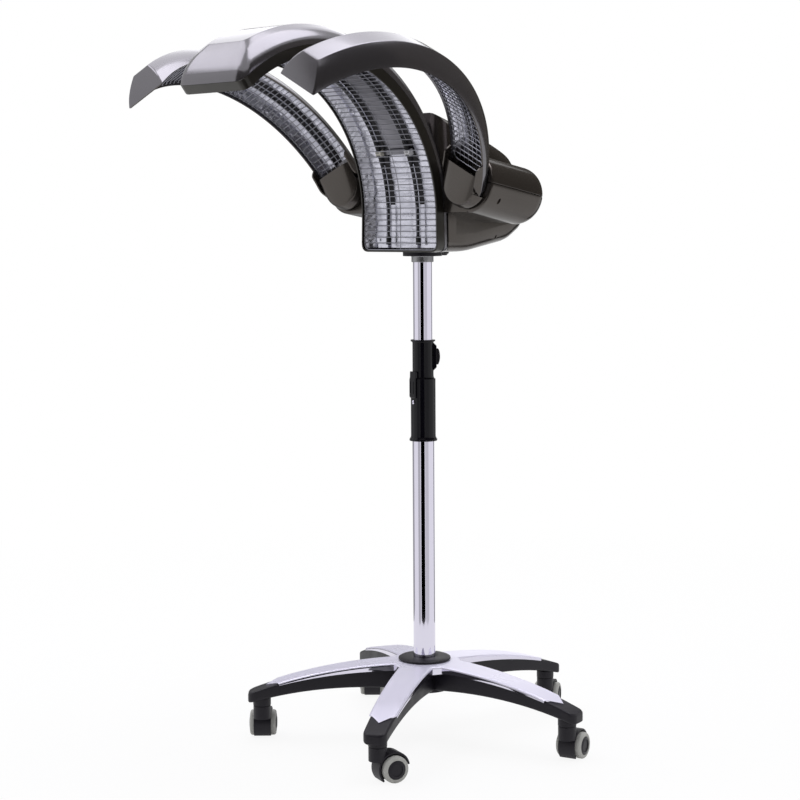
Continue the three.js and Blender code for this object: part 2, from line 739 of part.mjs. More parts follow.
function sleeveBody() {
  const shell = turned([
    [SLEEVE_BORE, SLEEVE_BOTTOM],
    [SLEEVE_RADIUS + SLEEVE_RIM, SLEEVE_BOTTOM],
    [SLEEVE_RADIUS + SLEEVE_RIM, SLEEVE_BOTTOM + SLEEVE_RIM_HEIGHT],
    [SLEEVE_RADIUS, SLEEVE_BOTTOM + SLEEVE_RIM_HEIGHT],
    [SLEEVE_RADIUS, SLEEVE_TOP],
    [SLEEVE_BORE, SLEEVE_TOP],
  ]);
  const holeEnd = SLEEVE_RADIUS + SCREW_LENGTH;
  const hole = cylinder(SCREW_RADIUS / 2 + GAP, LOWER_TUBE_RADIUS, holeEnd, SMALL_SIDES);
  return shell.subtract(turnedAbout(alongX(hole), LATCH_AZIMUTH).translate([0, 0, SCREW_Z]));
}

function sleeveCollar() {
  const bore = UPPER_TUBE_RADIUS + SLIDE_GAP;
  const foot = LOWER_TUBE_TOP + GAP;
  const sleeve = turned([
    [bore, foot],
    [LOWER_TUBE_RADIUS, foot],
    [LOWER_TUBE_RADIUS, SLEEVE_TOP],
    [COLLAR_RADIUS, SLEEVE_TOP],
    [COLLAR_RADIUS, COLLAR_TOP - COLLAR_RIM_HEIGHT],
    [COLLAR_RADIUS + COLLAR_RIM, COLLAR_TOP - COLLAR_RIM_HEIGHT],
    [COLLAR_RADIUS + COLLAR_RIM, COLLAR_TOP],
    [bore, COLLAR_TOP],
  ]);
  const chamfer = BUTTON_BOSS_PROUD;
  const top = BUTTON_BOSS_BOTTOM + BUTTON_BOSS_HEIGHT;
  const boss = slab([
    [bore + GAP, BUTTON_BOSS_BOTTOM],
    [BUTTON_BOSS_FACE, BUTTON_BOSS_BOTTOM + chamfer],
    [BUTTON_BOSS_FACE, top - chamfer],
    [bore + GAP, top],
  ], BUTTON_BOSS_WIDTH);
  const depth = BUTTON_BOSS_FACE - POCKET_FLOOR;
  const pocket = box(
    0,
    POCKET_FLOOR + depth,
    BUTTON_BOSS_BOTTOM + BUTTON_BOSS_HEIGHT / 2,
    BUTTON_WIDTH + 2 * GAP,
    2 * depth,
    BUTTON_HEIGHT + 2 * GAP,
  );
  const cut = cylinder(bore, foot - GAP, COLLAR_TOP + GAP);
  const grip = turnedAbout(boss.subtract(pocket), BUTTON_AZIMUTH - 90);
  const room = turnedAbout(pocket, BUTTON_AZIMUTH - 90);
  return sleeve.add(grip).subtract(cut).subtract(room);
}

function releaseButton() {
  const inner = BUTTON_BOSS_FACE - BUTTON_KEY;
  const middle = BUTTON_BOSS_BOTTOM + BUTTON_BOSS_HEIGHT / 2;
  const half = BUTTON_HEIGHT / 2;
  const slope = BUTTON_PROUD - BUTTON_TRAVEL;
  const key = slab([
    [inner, middle - half],
    [BUTTON_FACE - slope, middle - half],
    [BUTTON_FACE, middle - half + slope],
    [BUTTON_FACE, middle + half - slope],
    [BUTTON_FACE - slope, middle + half],
    [inner, middle + half],
  ], BUTTON_WIDTH);
  return turnedAbout(key, BUTTON_AZIMUTH - 90);
}

function latchLever() {
  const inner = SLEEVE_RADIUS + GAP;
  const outer = inner + LATCH_THICK;
  const top = LATCH_BOTTOM + LATCH_HEIGHT;
  const hookZ = SLEEVE_TOP + 2 * GAP;
  const lever = slab([
    [inner, LATCH_BOTTOM],
    [outer, LATCH_BOTTOM + LATCH_THICK],
    [outer, hookZ],
    [outer - LATCH_THICK / 2, top],
    [inner - LATCH_HOOK + LATCH_THICK / 2, top],
    [inner - LATCH_HOOK, top - LATCH_THICK],
    [inner - LATCH_HOOK, hookZ],
    [inner, hookZ],
  ], LATCH_WIDTH);
  return turnedAbout(lever, LATCH_AZIMUTH - 90);
}

function sleeveScrew() {
  const seat = SLEEVE_RADIUS + GAP;
  const head = cylinder(SCREW_RADIUS, seat, seat + SCREW_LENGTH / 2, SMALL_SIDES);
  const shank = cylinder(SCREW_RADIUS / 2, LOWER_TUBE_RADIUS + GAP, SLEEVE_RADIUS + 2 * GAP, SMALL_SIDES);
  return turnedAbout(alongX(head.add(shank)), LATCH_AZIMUTH).translate([0, 0, SCREW_Z]);
}

function pole() {
  const group = new THREE.Group();
  const tubeTop = HEAD_BOTTOM - GAP - FLANGE_HEIGHT / 2;
  const upper = ring(UPPER_TUBE_RADIUS - UPPER_TUBE_WALL, UPPER_TUBE_RADIUS, UPPER_TUBE_BOTTOM, tubeTop);
  const spigot = UPPER_TUBE_RADIUS - UPPER_TUBE_WALL - GAP;
  const lip = LOWER_TUBE_RADIUS - TUBE_WALL - GAP;
  const guide = turned([
    [0, UPPER_TUBE_BOTTOM - GAP - GUIDE_LIP],
    [lip, UPPER_TUBE_BOTTOM - GAP - GUIDE_LIP],
    [lip, UPPER_TUBE_BOTTOM - GAP],
    [spigot, UPPER_TUBE_BOTTOM - GAP],
    [spigot, UPPER_TUBE_BOTTOM + GUIDE_HEIGHT],
    [0, UPPER_TUBE_BOTTOM + GUIDE_HEIGHT],
  ]);
  group.add(
    piece('sleeve_body', sleeveBody(), BLACK_GLOSS),
    piece('sleeve_collar', sleeveCollar(), BLACK_GLOSS),
    piece('release_button', releaseButton(), BLACK_PLASTIC),
    piece('latch_lever', latchLever(), BLACK_GLOSS),
    piece('sleeve_screw', sleeveScrew(), CHROME),
    piece('upper_tube', upper, CHROME),
    piece('guide_plug', guide, BLACK_PLASTIC),
  );
  return group;
}

function neckFlange() {
  const bore = UPPER_TUBE_RADIUS + TURN_GAP;
  const top = HEAD_BOTTOM - GAP;
  return turned([
    [bore, NECK_BOTTOM],
    [NECK_RADIUS, NECK_BOTTOM],
    [NECK_RADIUS, top - FLANGE_HEIGHT],
    [FLANGE_RADIUS, top - FLANGE_HEIGHT],
    [FLANGE_RADIUS, top],
    [bore, top],
  ]);
}

// Heated arms

const CENTRE_PATH = new ArmPath({
  axisY: -CENTRE_AHEAD - CENTRE_RADIUS,
  axisZ: HEAD_BOTTOM + CENTRE_RISER,
  radius: CENTRE_RADIUS,
  startAngle: STRAIGHT_UP,
  tipAngle: CENTRE_TIP_ANGLE,
  riser: CENTRE_RISER,
  taper: CENTRE_TAPER,
});

// A side arm's path starts level with the pod's axis
const SIDE_START_ANGLE = STRAIGHT_UP + THREE.MathUtils.radToDeg(Math.asin(SIDE_AXIS_Z / SIDE_RADIUS));

const SIDE_PATH = new ArmPath({
  axisY: SIDE_AHEAD - SIDE_RADIUS,
  axisZ: SIDE_AXIS_Z,
  radius: SIDE_RADIUS,
  startAngle: SIDE_START_ANGLE,
  tipAngle: SIDE_TIP_ANGLE,
  riser: 0,
  taper: 0,
});

// A band across the arm between two depths
function bandOutline(halfWidth, low, high) {
  return [[halfWidth, low], [halfWidth, high], [-halfWidth, high], [-halfWidth, low]];
}

function centreOutline(grow, reach) {
  return hoodOutline(CENTRE_HALF_WIDTH, CENTRE_BAND, CENTRE_DEPTH, FRAME_DEPTH, grow, reach);
}

// The whole outside of the centre arm, for fitting the casing behind it
function centreEnvelope(grow) {
  const end = CENTRE_PATH.length + REACH_PAST;
  const lower = bandOutline(CENTRE_HALF_WIDTH + grow, -REACH_PAST, FRAME_DEPTH + GAP);
  const hood = centreOutline(grow);
  const frame = CENTRE_PATH.sweep(lower, -REACH_PAST, end);
  return frame.add(CENTRE_PATH.sweep(hood, -REACH_PAST, end));
}

function centreShell() {
  const slant = CENTRE_SLANT / (CENTRE_DEPTH - FRAME_DEPTH);
  const ends = { slant, slantFrom: FRAME_DEPTH };
  const outer = CENTRE_PATH.sweep(centreOutline(0), 0, CENTRE_PATH.length, ends);
  const room = centreOutline(-SHELL_WALL, ROOM_SKIRT);
  return outer.subtract(CENTRE_PATH.sweep(room, SHELL_WALL, CENTRE_PATH.length - SHELL_WALL, ends));
}

function centreFrame() {
  const outer = bandOutline(CENTRE_HALF_WIDTH, 0, FRAME_DEPTH - GAP);
  const inner = bandOutline(CENTRE_HALF_WIDTH - SHELL_WALL, -REACH_PAST, FRAME_DEPTH + REACH_PAST);
  const opening = CENTRE_PATH.sweep(inner, SHELL_WALL, CENTRE_PATH.length - SHELL_WALL);
  return CENTRE_PATH.sweep(outer, 0, CENTRE_PATH.length).subtract(opening);
}

// A thin trough behind the lamps, from its rims near the net down to a flat bed
function reflector(path, halfWidth, from, to) {
  const edge = halfWidth - SHELL_WALL - REFLECTOR_EDGE;
  const bed = edge - REFLECTOR_SLOPE;
  const back = REFLECTOR_DEPTH + REFLECTOR_THICK;
  const right = [
    [bed, REFLECTOR_DEPTH],
    [edge, REFLECTOR_RIM],
    [edge, REFLECTOR_RIM + 2 * REFLECTOR_THICK],
    [bed + REFLECTOR_THICK, back],
  ];
  const left = right.map(([w, d]) => [-w, d]).reverse();
  return path.sweep([...right, ...left], from, to);
}

// Two ceramic joints on a strip behind them, between the lower and the upper lamps
function lampJoint() {
  const low = LAMP_DEPTH - LAMP_RADIUS;
  const high = REFLECTOR_DEPTH - LAMP_JOINT_STANDOFF;
  const from = CENTRE_LAMP_SPLIT - LAMP_JOINT / 2 + GAP;
  const to = CENTRE_LAMP_SPLIT + LAMP_JOINT / 2 - GAP;
  const half = CENTRE_LAMP_X + LAMP_JOINT_WIDTH / 2;
  const strip = CENTRE_PATH.sweep(bandOutline(half, high - LAMP_JOINT_STRIP, high), from, to);
  const blocks = [-1, 1].map((side) => CENTRE_PATH.sweep(
    bandOutline(LAMP_JOINT_WIDTH / 2, low, high).map(([w, d]) => [w + side * CENTRE_LAMP_X, d]),
    from,
    to,
  ));
  return union(strip, ...blocks);
}

function centreArm() {
  const group = new THREE.Group();
  const inside = CENTRE_HALF_WIDTH - SHELL_WALL - GAP;
  const from = SHELL_WALL + GAP;
  const to = CENTRE_PATH.length - SHELL_WALL - GAP;
  const lampTo = CENTRE_PATH.length - LAMP_END - CENTRE_RADIUS * radians(CENTRE_SLANT);
  group.add(
    piece('centre_arm_shell', centreShell(), TAUPE),
    piece('centre_arm_frame', centreFrame(), TAUPE_DARK),
    piece('centre_grille', CENTRE_PATH.net(inside, from, to, 2), WIRE),
    piece('centre_reflector', reflector(CENTRE_PATH, CENTRE_HALF_WIDTH, LAMP_END, lampTo), FOIL),
    piece('lamp_joint', lampJoint(), CERAMIC),
  );
  for (const [side, across] of [['left', -CENTRE_LAMP_X], ['right', CENTRE_LAMP_X]]) {
    const split = [CENTRE_LAMP_SPLIT - LAMP_JOINT / 2, CENTRE_LAMP_SPLIT + LAMP_JOINT / 2];
    const lower = CENTRE_PATH.rod(across, LAMP_DEPTH, LAMP_RADIUS, LAMP_END, split[0]);
    const upper = CENTRE_PATH.rod(across, LAMP_DEPTH, LAMP_RADIUS, split[1], lampTo);
    group.add(
      piece(`lower_lamp_${side}`, lower, QUARTZ),
      piece(`upper_lamp_${side}`, upper, QUARTZ),
    );
  }
  return group;
}

function sideOutline(grow, reach) {
  return hoodOutline(SIDE_HALF_WIDTH, SIDE_BAND, SIDE_DEPTH, 0, grow, reach);
}

const SIDE_INSIDE = SIDE_HALF_WIDTH - SHELL_WALL;

// The space in front of a pod's face, which the arm and the elbow keep to
function aheadOfPod() {
  const size = 4 * SIDE_RADIUS;
  return box(0, -size / 2 - GAP, 0, size, size, size);
}

function sideShell() {
  const ends = { slant: SIDE_SLANT / SIDE_DEPTH };
  const outer = SIDE_PATH.sweep(sideOutline(0), 0, SIDE_PATH.length, ends);
  const inside = sideOutline(-SHELL_WALL, ROOM_SKIRT);
  const room = SIDE_PATH.sweep(inside, -REACH_PAST, SIDE_PATH.length - SHELL_WALL, ends);
  return outer.subtract(room).intersect(aheadOfPod());
}

const MOUTH_FACE = SIDE_PATH.point(sideArcAt(ELBOW_TOP), 0, 0).y;

// The rim of an elbow's mouth: it bows out in front of the arm and runs straight back at its sides
function mouthRim() {
  const rim = [[-SIDE_INSIDE, -GAP], [SIDE_INSIDE, -GAP]];
  for (let i = 0; i <= LIP_POINTS; i += 1) {
    const share = (2 * i) / LIP_POINTS - 1;
    rim.push([SIDE_INSIDE * share, MOUTH_FACE - ELBOW_BOW * (1 - share * share)]);
  }
  return rim.map(([x, y]) => new THREE.Vector3(x, y, ELBOW_TOP));
}

function hoop(radius, y) {
  return Array.from({ length: ELBOW_SIDES }, (_, i) => {
    const turn = (2 * Math.PI * i) / ELBOW_SIDES;
    return new THREE.Vector3(radius * Math.cos(turn), y, radius * Math.sin(turn));
  });
}

// The elbow is drawn together from its round flange to the mouth inside the arm.
function elbow() {
  const front = -ELBOW_FLANGE - ELBOW_BULGE;
  const size = 4 * ELBOW_RADIUS;
  const underRim = box(0, 0, ELBOW_TOP - size / 2, size, size, size);
  const drawn = solid(new ConvexGeometry([
    ...hoop(ELBOW_RADIUS, -GAP),
    ...hoop(ELBOW_RADIUS, -ELBOW_FLANGE),
    ...hoop(ELBOW_RADIUS - ELBOW_ROUND, front),
    ...mouthRim(),
  ])).intersect(underRim);
  const throat = SIDE_PATH.sweep(
    sideOutline(-SHELL_WALL - GAP, 3 * REACH_PAST),
    -3 * REACH_PAST,
    2 * REACH_PAST,
  );
  const below = box(0, 0, -size / 2 - GAP, size, size, size);
  const whole = drawn.intersect(throat).add(drawn.intersect(below));
  const lip = MOUTH_FACE + ELBOW_POCKET_LIP;
  const back = -GAP - ELBOW_POCKET_BACK;
  const pocket = box(0, (lip + back) / 2, ELBOW_TOP, ELBOW_POCKET_WIDTH, back - lip, 2 * ELBOW_POCKET_DEPTH);
  const wireDown = cylinder(WIRE_BORE, 0, ELBOW_TOP, SMALL_SIDES).translate([0, -ELBOW_FORWARD, 0]);
  const wireBack = alongY(cylinder(WIRE_BORE, -ELBOW_FORWARD, GAP, SMALL_SIDES));
  return whole.subtract(pocket).subtract(wireDown).subtract(wireBack);
}

function pivotTube() {
  return alongY(ring(WIRE_BORE, PIVOT_RADIUS, GAP, PIVOT_LENGTH, SMALL_SIDES));
}

// The distance along a side arm's path at which it passes a height
function sideArcAt(height) {
  const angle = Math.PI - Math.asin((height - SIDE_AXIS_Z) / SIDE_RADIUS);
  return SIDE_RADIUS * (radians(SIDE_START_ANGLE) - angle);
}

function sideArm(side, sign) {
  const tilt = new THREE.Group();
  tilt.position.set(sign * POD_OFFSET, POD_FRONT, POD_HEIGHT);
  tilt.rotation.x = -radians(POD_TILT);
  const swing = new THREE.Group();
  swing.rotation.y = sign * radians(SIDE_LEAN);
  tilt.add(swing);
  const from = sideArcAt(ELBOW_TOP) + 2 * GAP;
  const slantedBack = SIDE_RADIUS * radians(SIDE_SLANT);
  const netShare = (NET_DEPTH + NET_WIRE) / SIDE_DEPTH;
  const to = SIDE_PATH.length - SHELL_WALL - NET_CLEARANCE - slantedBack * netShare;
  const lampTo = SIDE_PATH.length - LAMP_END - slantedBack;
  swing.add(
    piece(`${side}_elbow`, elbow(), TAUPE),
    piece(`${side}_pivot_tube`, pivotTube(), STEEL),
    piece(`${side}_arm_shell`, sideShell(), TAUPE),
    piece(`${side}_grille`, SIDE_PATH.net(SIDE_INSIDE - NET_CLEARANCE, from, to, 1), WIRE),
    piece(`${side}_reflector`, reflector(SIDE_PATH, SIDE_HALF_WIDTH, from + LAMP_END, lampTo), FOIL),
    piece(`${side}_lamp`, SIDE_PATH.rod(0, LAMP_DEPTH, LAMP_RADIUS, from + LAMP_END, lampTo), QUARTZ),
  );
  return tilt;
}

// Head casing

const BRIDGE_LENGTH = POD_LENGTH - BRIDGE_SETBACK;

const TO_POD_FRAME = new THREE.Matrix4()
  .makeRotationX(-radians(POD_TILT))
  .setPosition(0, POD_FRONT, POD_HEIGHT);

function inPodFrame(manifold) {
  return solid(geometryOf(manifold).applyMatrix4(TO_POD_FRAME));
}

// The casing's middle: a hump behind the centre arm, a rear slope and a rounded belly
function trunkShape() {
  const shape = new THREE.Shape();
  shape.moveTo(CASE_FRONT, 0);
  shape.lineTo(BELLY_END, 0);
  shape.quadraticCurveTo(...BELLY_KNEE, ...BELLY_TURN);
  shape.quadraticCurveTo(...REAR_KNEE, ...REAR_TOP);
  shape.lineTo(...SLOPE_FOOT);
  shape.lineTo(...SLOPE_TOP);
  shape.quadraticCurveTo(...HUMP_KNEE, ...HUMP_TOP);
  shape.lineTo(CASE_FRONT, HUMP_FRONT);
  return shape;
}

function trunk(inset) {
  const round = CASE_ROUND - inset;
  const width = 2 * (CASE_HALF_WIDTH - inset);
  const geometry = new THREE.ExtrudeGeometry(trunkShape(), {
    depth: width - 2 * round,
    bevelThickness: round,
    bevelSize: round,
    bevelOffset: -round - inset,
    bevelSegments: inset ? 1 : 3,
    curveSegments: 3,
  });
  geometry.translate(0, 0, round - width / 2).applyMatrix4(OUTLINE_TO_YZ);
  return placed(geometry, 0, 0, HEAD_BOTTOM);
}

function pod(side, inset) {
  const radius = POD_RADIUS - inset;
  const rear = POD_LENGTH - inset;
  const round = POD_ROUND - inset;
  const profile = [[0, inset], [radius - POD_NOSE, inset], [radius, inset + POD_NOSE]];
  const steps = inset ? 1 : 3;
  for (let i = 0; i <= steps; i += 1) {
    const turn = Math.PI / 2 * i / steps;
    profile.push([radius - round + round * Math.cos(turn), rear - round + round * Math.sin(turn)]);
  }
  profile.push([0, rear]);
  return alongY(turned(profile, inset ? SMALL_SIDES : BIG_SIDES)).translate([side * POD_OFFSET, 0, 0]);
}

function bridge(inset) {
  const low = -POD_RADIUS + inset;
  const high = BRIDGE_TOP - inset;
  const length = BRIDGE_LENGTH - 2 * inset;
  return box(0, BRIDGE_LENGTH / 2, (low + high) / 2, 2 * POD_OFFSET, length, high - low);
}

function casingBody(inset, clearance) {
  const pods = inPodFrame(union(pod(1, inset), pod(-1, inset), bridge(inset)));
  return pods.add(trunk(inset)).subtract(centreEnvelope(clearance));
}

function rearPanelFrame() {
  const [topY, topZ] = SLOPE_TOP;
  const [footY, footZ] = SLOPE_FOOT;
  const frame = new THREE.Group();
  frame.position.set(0, (topY + footY) / 2, HEAD_BOTTOM + (topZ + footZ) / 2);
  frame.rotation.x = -Math.atan2(topZ - footZ, footY - topY);
  return frame;
}

function rearPanelHoles(depth) {
  const spindle = cylinder(SPINDLE_RADIUS + GAP, -depth, depth, SMALL_SIDES).translate([KNOB_X, 0, 0]);
  const well = box(SWITCH_X, 0, 0, SWITCH_WIDTH + 4 * GAP, SWITCH_HEIGHT + 4 * GAP, 2 * depth);
  return spindle.add(well);
}

function casing() {
  const shell = casingBody(0, GAP).subtract(casingBody(CASE_WALL, GAP + CASE_WALL));
  const size = 8 * POD_LENGTH;
  const half = (sign) => inPodFrame(box(0, 0, sign * (size / 2 + CASE_SEAM / 2), size, size, size));
  const frame = rearPanelFrame();
  frame.updateMatrix();
  const panelHoles = solid(geometryOf(rearPanelHoles(REACH_PAST / 2)).applyMatrix4(frame.matrix));
  const pivotHoles = [-1, 1].map((side) => inPodFrame(
    alongY(cylinder(PIVOT_RADIUS + GAP, -GAP, PIVOT_LENGTH)).translate([side * POD_OFFSET, 0, 0]),
  ));
  const glandHole = cylinder(GLAND_RADIUS + GAP, HEAD_BOTTOM - GAP, HEAD_BOTTOM + REACH_PAST, SMALL_SIDES);
  const drilled = shell
    .subtract(union(panelHoles, ...pivotHoles))
    .subtract(glandHole.translate([0, GLAND_Y, 0]));
  return { upper: drilled.intersect(half(1)), lower: drilled.intersect(half(-1)) };
}

function cordGland() {
  const flangeTop = HEAD_BOTTOM - GAP;
  return turned([
    [GLAND_BORE, HEAD_BOTTOM - GLAND_DROP],
    [GLAND_RADIUS, HEAD_BOTTOM - GLAND_DROP],
    [GLAND_RADIUS + CASE_WALL, HEAD_BOTTOM - GLAND_DROP / 2],
    [GLAND_RADIUS + CASE_WALL, flangeTop],
    [GLAND_RADIUS, flangeTop],
    [GLAND_RADIUS, HEAD_BOTTOM + GLAND_DROP],
    [GLAND_BORE, HEAD_BOTTOM + GLAND_DROP],
  ], SMALL_SIDES).translate([0, GLAND_Y, 0]);
}

function controls() {
  const frame = rearPanelFrame();
  const middle = GAP + PANEL_THICK / 2;
  const plate = box(0, 0, middle, PANEL_WIDTH, PANEL_HEIGHT, PANEL_THICK);
  const knobBase = 2 * GAP + PANEL_THICK;
  const knob = turned([
    [0, knobBase - SPINDLE_LENGTH],
    [SPINDLE_RADIUS, knobBase - SPINDLE_LENGTH],
    [SPINDLE_RADIUS, knobBase],
    [KNOB_RADIUS, knobBase],
    [KNOB_RADIUS - KNOB_DRAFT, knobBase + KNOB_HEIGHT],
    [0, knobBase + KNOB_HEIGHT],
  ]).translate([KNOB_X, 0, 0]);
  const top = GAP + PANEL_THICK + SWITCH_PROUD;
  const rocker = slab([
    [-SWITCH_HEIGHT / 2, top - SWITCH_DEPTH],
    [SWITCH_HEIGHT / 2, top - SWITCH_DEPTH],
    [SWITCH_HEIGHT / 2, top],
    [0, top - SWITCH_PROUD / 3],
    [-SWITCH_HEIGHT / 2, top],
  ], SWITCH_WIDTH).translate([SWITCH_X, 0, 0]);
  frame.add(
    piece('control_panel', plate.subtract(rearPanelHoles(REACH_PAST)), BLACK_PLASTIC),
    piece('timer_knob', knob, BLACK_GLOSS),
    piece('power_switch', rocker, BLACK_GLOSS),
  );
  return frame;
}

// The carrier plate and the control board that lie on the floor of the casing's bridge
function internals() {
  const frame = new THREE.Group();
  frame.applyMatrix4(TO_POD_FRAME);
  const floor = -POD_RADIUS + CASE_WALL + CHASSIS_CLEAR;
  const y = BRIDGE_LENGTH - CASE_WALL - CHASSIS_CLEAR - CHASSIS_LENGTH / 2;
  const plate = box(0, y, floor + CHASSIS_THICK / 2, CHASSIS_WIDTH, CHASSIS_LENGTH, CHASSIS_THICK);
  const boardZ = floor + CHASSIS_THICK + BOARD_STANDOFF + BOARD_THICK / 2;
  const board = box(0, y, boardZ, BOARD_WIDTH, BOARD_LENGTH, BOARD_THICK);
  frame.add(piece('chassis_plate', plate, STEEL), piece('control_board', board, BOARD_GREEN));
  return frame;
}

function head() {
  const group = new THREE.Group();
  const { upper, lower } = casing();
  group.add(
    piece('neck_flange', neckFlange(), BLACK_PLASTIC),
    piece('upper_casing', upper, TAUPE),
    piece('lower_casing', lower, TAUPE),
    piece('cord_gland', cordGland(), BLACK_PLASTIC),
    controls(),
    internals(),
    centreArm(),
    sideArm('right', 1),
    sideArm('left', -1),
  );
  return group;
}

const processor = new THREE.Group();
processor.name = 'hair_color_processor';
processor.add(base());
for (let i = 0; i < LEG_COUNT; i += 1) {
  processor.add(caster(i + 1, BASE_TURN + 360 * i / LEG_COUNT));
}
processor.add(pole(), head());

export default processor;
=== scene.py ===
"""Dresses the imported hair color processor: lacquered shells, crumpled foil, wire guards and chrome.

Every piece is modelled in millimetres, in the part's own frame, and brought to metres when it is finished.
"""

import logging
import math
from contextlib import contextmanager
from dataclasses import dataclass, field
from enum import Enum
from typing import Callable, Iterator, Sequence

import bmesh
import bpy
from mathutils import Matrix, Vector


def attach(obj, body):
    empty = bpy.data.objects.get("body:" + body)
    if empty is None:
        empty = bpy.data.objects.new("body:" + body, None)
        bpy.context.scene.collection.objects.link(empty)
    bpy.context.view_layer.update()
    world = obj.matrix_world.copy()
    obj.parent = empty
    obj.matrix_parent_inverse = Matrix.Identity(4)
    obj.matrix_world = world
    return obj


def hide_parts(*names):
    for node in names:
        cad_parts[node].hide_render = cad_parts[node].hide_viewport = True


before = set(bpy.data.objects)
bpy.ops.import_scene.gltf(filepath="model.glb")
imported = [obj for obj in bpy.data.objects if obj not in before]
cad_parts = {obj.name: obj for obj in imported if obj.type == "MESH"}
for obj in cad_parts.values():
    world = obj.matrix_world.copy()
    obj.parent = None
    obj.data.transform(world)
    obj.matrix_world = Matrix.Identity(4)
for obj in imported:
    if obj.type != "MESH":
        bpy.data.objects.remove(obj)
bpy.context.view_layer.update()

LOG = logging.getLogger("processor")
MM = 0.001
# The gap between neighbours, and the step at which flat pieces are cut to bend.
GAP = 0.4
SLICE = 7.0
# How near counts as there, and how much of a unit direction has to follow an axis to count as along it.
NEAR = 0.05
ALONG = 0.9
# A lathe profile starts this far from its axis.
AXIS = 0.01
# The first leg's direction and how far out its caster turns, which the star and the casters share.
LEG_TURN = 8.5
STEM_REACH = 321.0

Point = tuple[float, float, float]
Flat = tuple[float, float]
Test = Callable[[Vector, Vector], bool]


class Pick(Enum):
    """What a selection takes hold of."""

    VERTS = "VERT"
    EDGES = "EDGE"
    FACES = "FACE"


class Join(Enum):
    """How one solid meets another."""

    ADD = "UNION"
    CUT = "DIFFERENCE"
    KEEP = "INTERSECT"


class Line(Enum):
    """How a traced line ends: open, closed on itself, or closed and filled."""

    OPEN = "open"
    RING = "ring"
    FACE = "face"


class Grain(Enum):
    """The fine relief of a surface."""

    NOISE = "ShaderNodeTexNoise"
    CELLS = "ShaderNodeTexVoronoi"


def linear(colour: str) -> tuple[float, float, float, float]:
    """Turns an sRGB hex colour to linear light.

    Args:
        colour: The colour, as #rrggbb.

    Returns:
        Its linear red, green, blue and an alpha of 1.
    """
    parts = [int(colour[i:i + 2], 16) / 255 for i in (1, 3, 5)]
    red, green, blue = [p / 12.92 if p <= 0.04045 else ((p + 0.055) / 1.055) ** 2.4 for p in parts]
    return red, green, blue, 1.0


def add_node(
    tree: bpy.types.NodeTree,
    kind: str,
    values: dict | None = None,
    links: dict | None = None,
    **settings: object,
) -> bpy.types.Node:
    """Adds a node with its settings and links.

    Args:
        tree: The node tree.
        kind: The node's type.
        values: Input values by socket name or number.
        links: Output sockets by the input that they feed.
        **settings: The node's own properties.

    Returns:
        The new node.
    """
    node = tree.nodes.new(kind)
    for key, value in settings.items():
        setattr(node, key, value)
    for key, value in (values or {}).items():
        node.inputs[key].default_value = value
    for key, socket in (links or {}).items():
        tree.links.new(socket, node.inputs[key])
    return node


@dataclass(frozen=True)
class Finish:
    """A finish, named for the real material; sizes are in millimetres.

    Attributes:
        name: The material's name.
        slot: The record's slot that it stands for; it is not used.
        colour: Its main colour.
        shade: The colour that it drifts to.
        patch: The size of that drift.
        roughness: Its least and greatest roughness.
        grain: The size of its fine relief.
        relief: The height of its fine relief.
        pattern: The kind of its fine relief.
        metallic: How far it is metal.
        ior: How strongly it bends light.
        coat: The weight of its clear coat.
        coat_roughness: The roughness of its clear coat.
        transmission: How much light goes through it.
        edge: How bright its mirrors are at a glancing view.
    """

    name: str
    slot: str
    colour: str
    shade: str
    patch: float
    roughness: tuple[float, float]
    grain: float
    relief: float
    pattern: Grain = Grain.NOISE
    metallic: float = 0.0
    ior: float = 1.5
    coat: float = 0.0
    coat_roughness: float = 0.08
    transmission: float = 0.0
    edge: float = 1.0

    def material(self) -> bpy.types.Material:
        """Makes the material, once.

        Returns:
            The material.
        """
        known = bpy.data.materials.get(self.name)
        if known:
            return known
        made = bpy.data.materials.new(self.name)
        made.use_nodes = True
        tree = made.node_tree
        shader = tree.nodes["Principled BSDF"]
        fixed = {
            "Metallic": self.metallic, "IOR": self.ior, "Coat Weight": self.coat,
            "Coat Roughness": self.coat_roughness, "Transmission Weight": self.transmission,
            "Specular Tint": (self.edge, self.edge, self.edge, 1.0),
        }
        for socket, value in fixed.items():
            shader.inputs[socket].default_value = value
        place = add_node(tree, "ShaderNodeTexCoord").outputs["Object"]
        drift = add_node(
            tree, "ShaderNodeTexNoise", {"Scale": 1 / (self.patch * MM), "Detail": 3.0}, {"Vector": place}
        )
        mix = add_node(
            tree, "ShaderNodeMix", {6: linear(self.colour), 7: linear(self.shade)},
            {0: drift.outputs["Fac"]}, data_type="RGBA",
        )
        tree.links.new(mix.outputs[2], shader.inputs["Base Color"])
        rough = add_node(
            tree, "ShaderNodeMapRange",
            {"From Min": 0.3, "From Max": 0.7, "To Min": self.roughness[0], "To Max": self.roughness[1]},
            {"Value": drift.outputs["Fac"]},
        )
        tree.links.new(rough.outputs["Result"], shader.inputs["Roughness"])
        fine = add_node(tree, self.pattern.value, {"Scale": 1 / (self.grain * MM)}, {"Vector": place})
        bump = add_node(
            tree, "ShaderNodeBump", {"Strength": 1.0, "Distance": self.relief * MM},
            {"Height": fine.outputs[0]},
        )
        tree.links.new(bump.outputs["Normal"], shader.inputs["Normal"])
        return made


# Pearl lacquer on moulded ABS: a soft warm grey whose clear coat mirrors the studio along every edge.
TAUPE = Finish("Pearl lacquer on ABS", "shell_taupe", "#716f74", "#68666b", 90, (0.17, 0.23), 2.2, 0.004,
               metallic=0.85, coat=0.35, coat_roughness=0.1, edge=0.6)
# The same lacquer painted a deeper umber, as painted shade, on the casing, the elbows and the side arms'
# cheeks: darker, with softer mirrors.
TAUPE_SHADED = Finish("Shaded lacquer on ABS", "shell_taupe", "#4e4945", "#46413d", 90, (0.2, 0.27), 2.2, 0.004,
               metallic=0.75, coat=0.35, coat_roughness=0.1, edge=0.6)
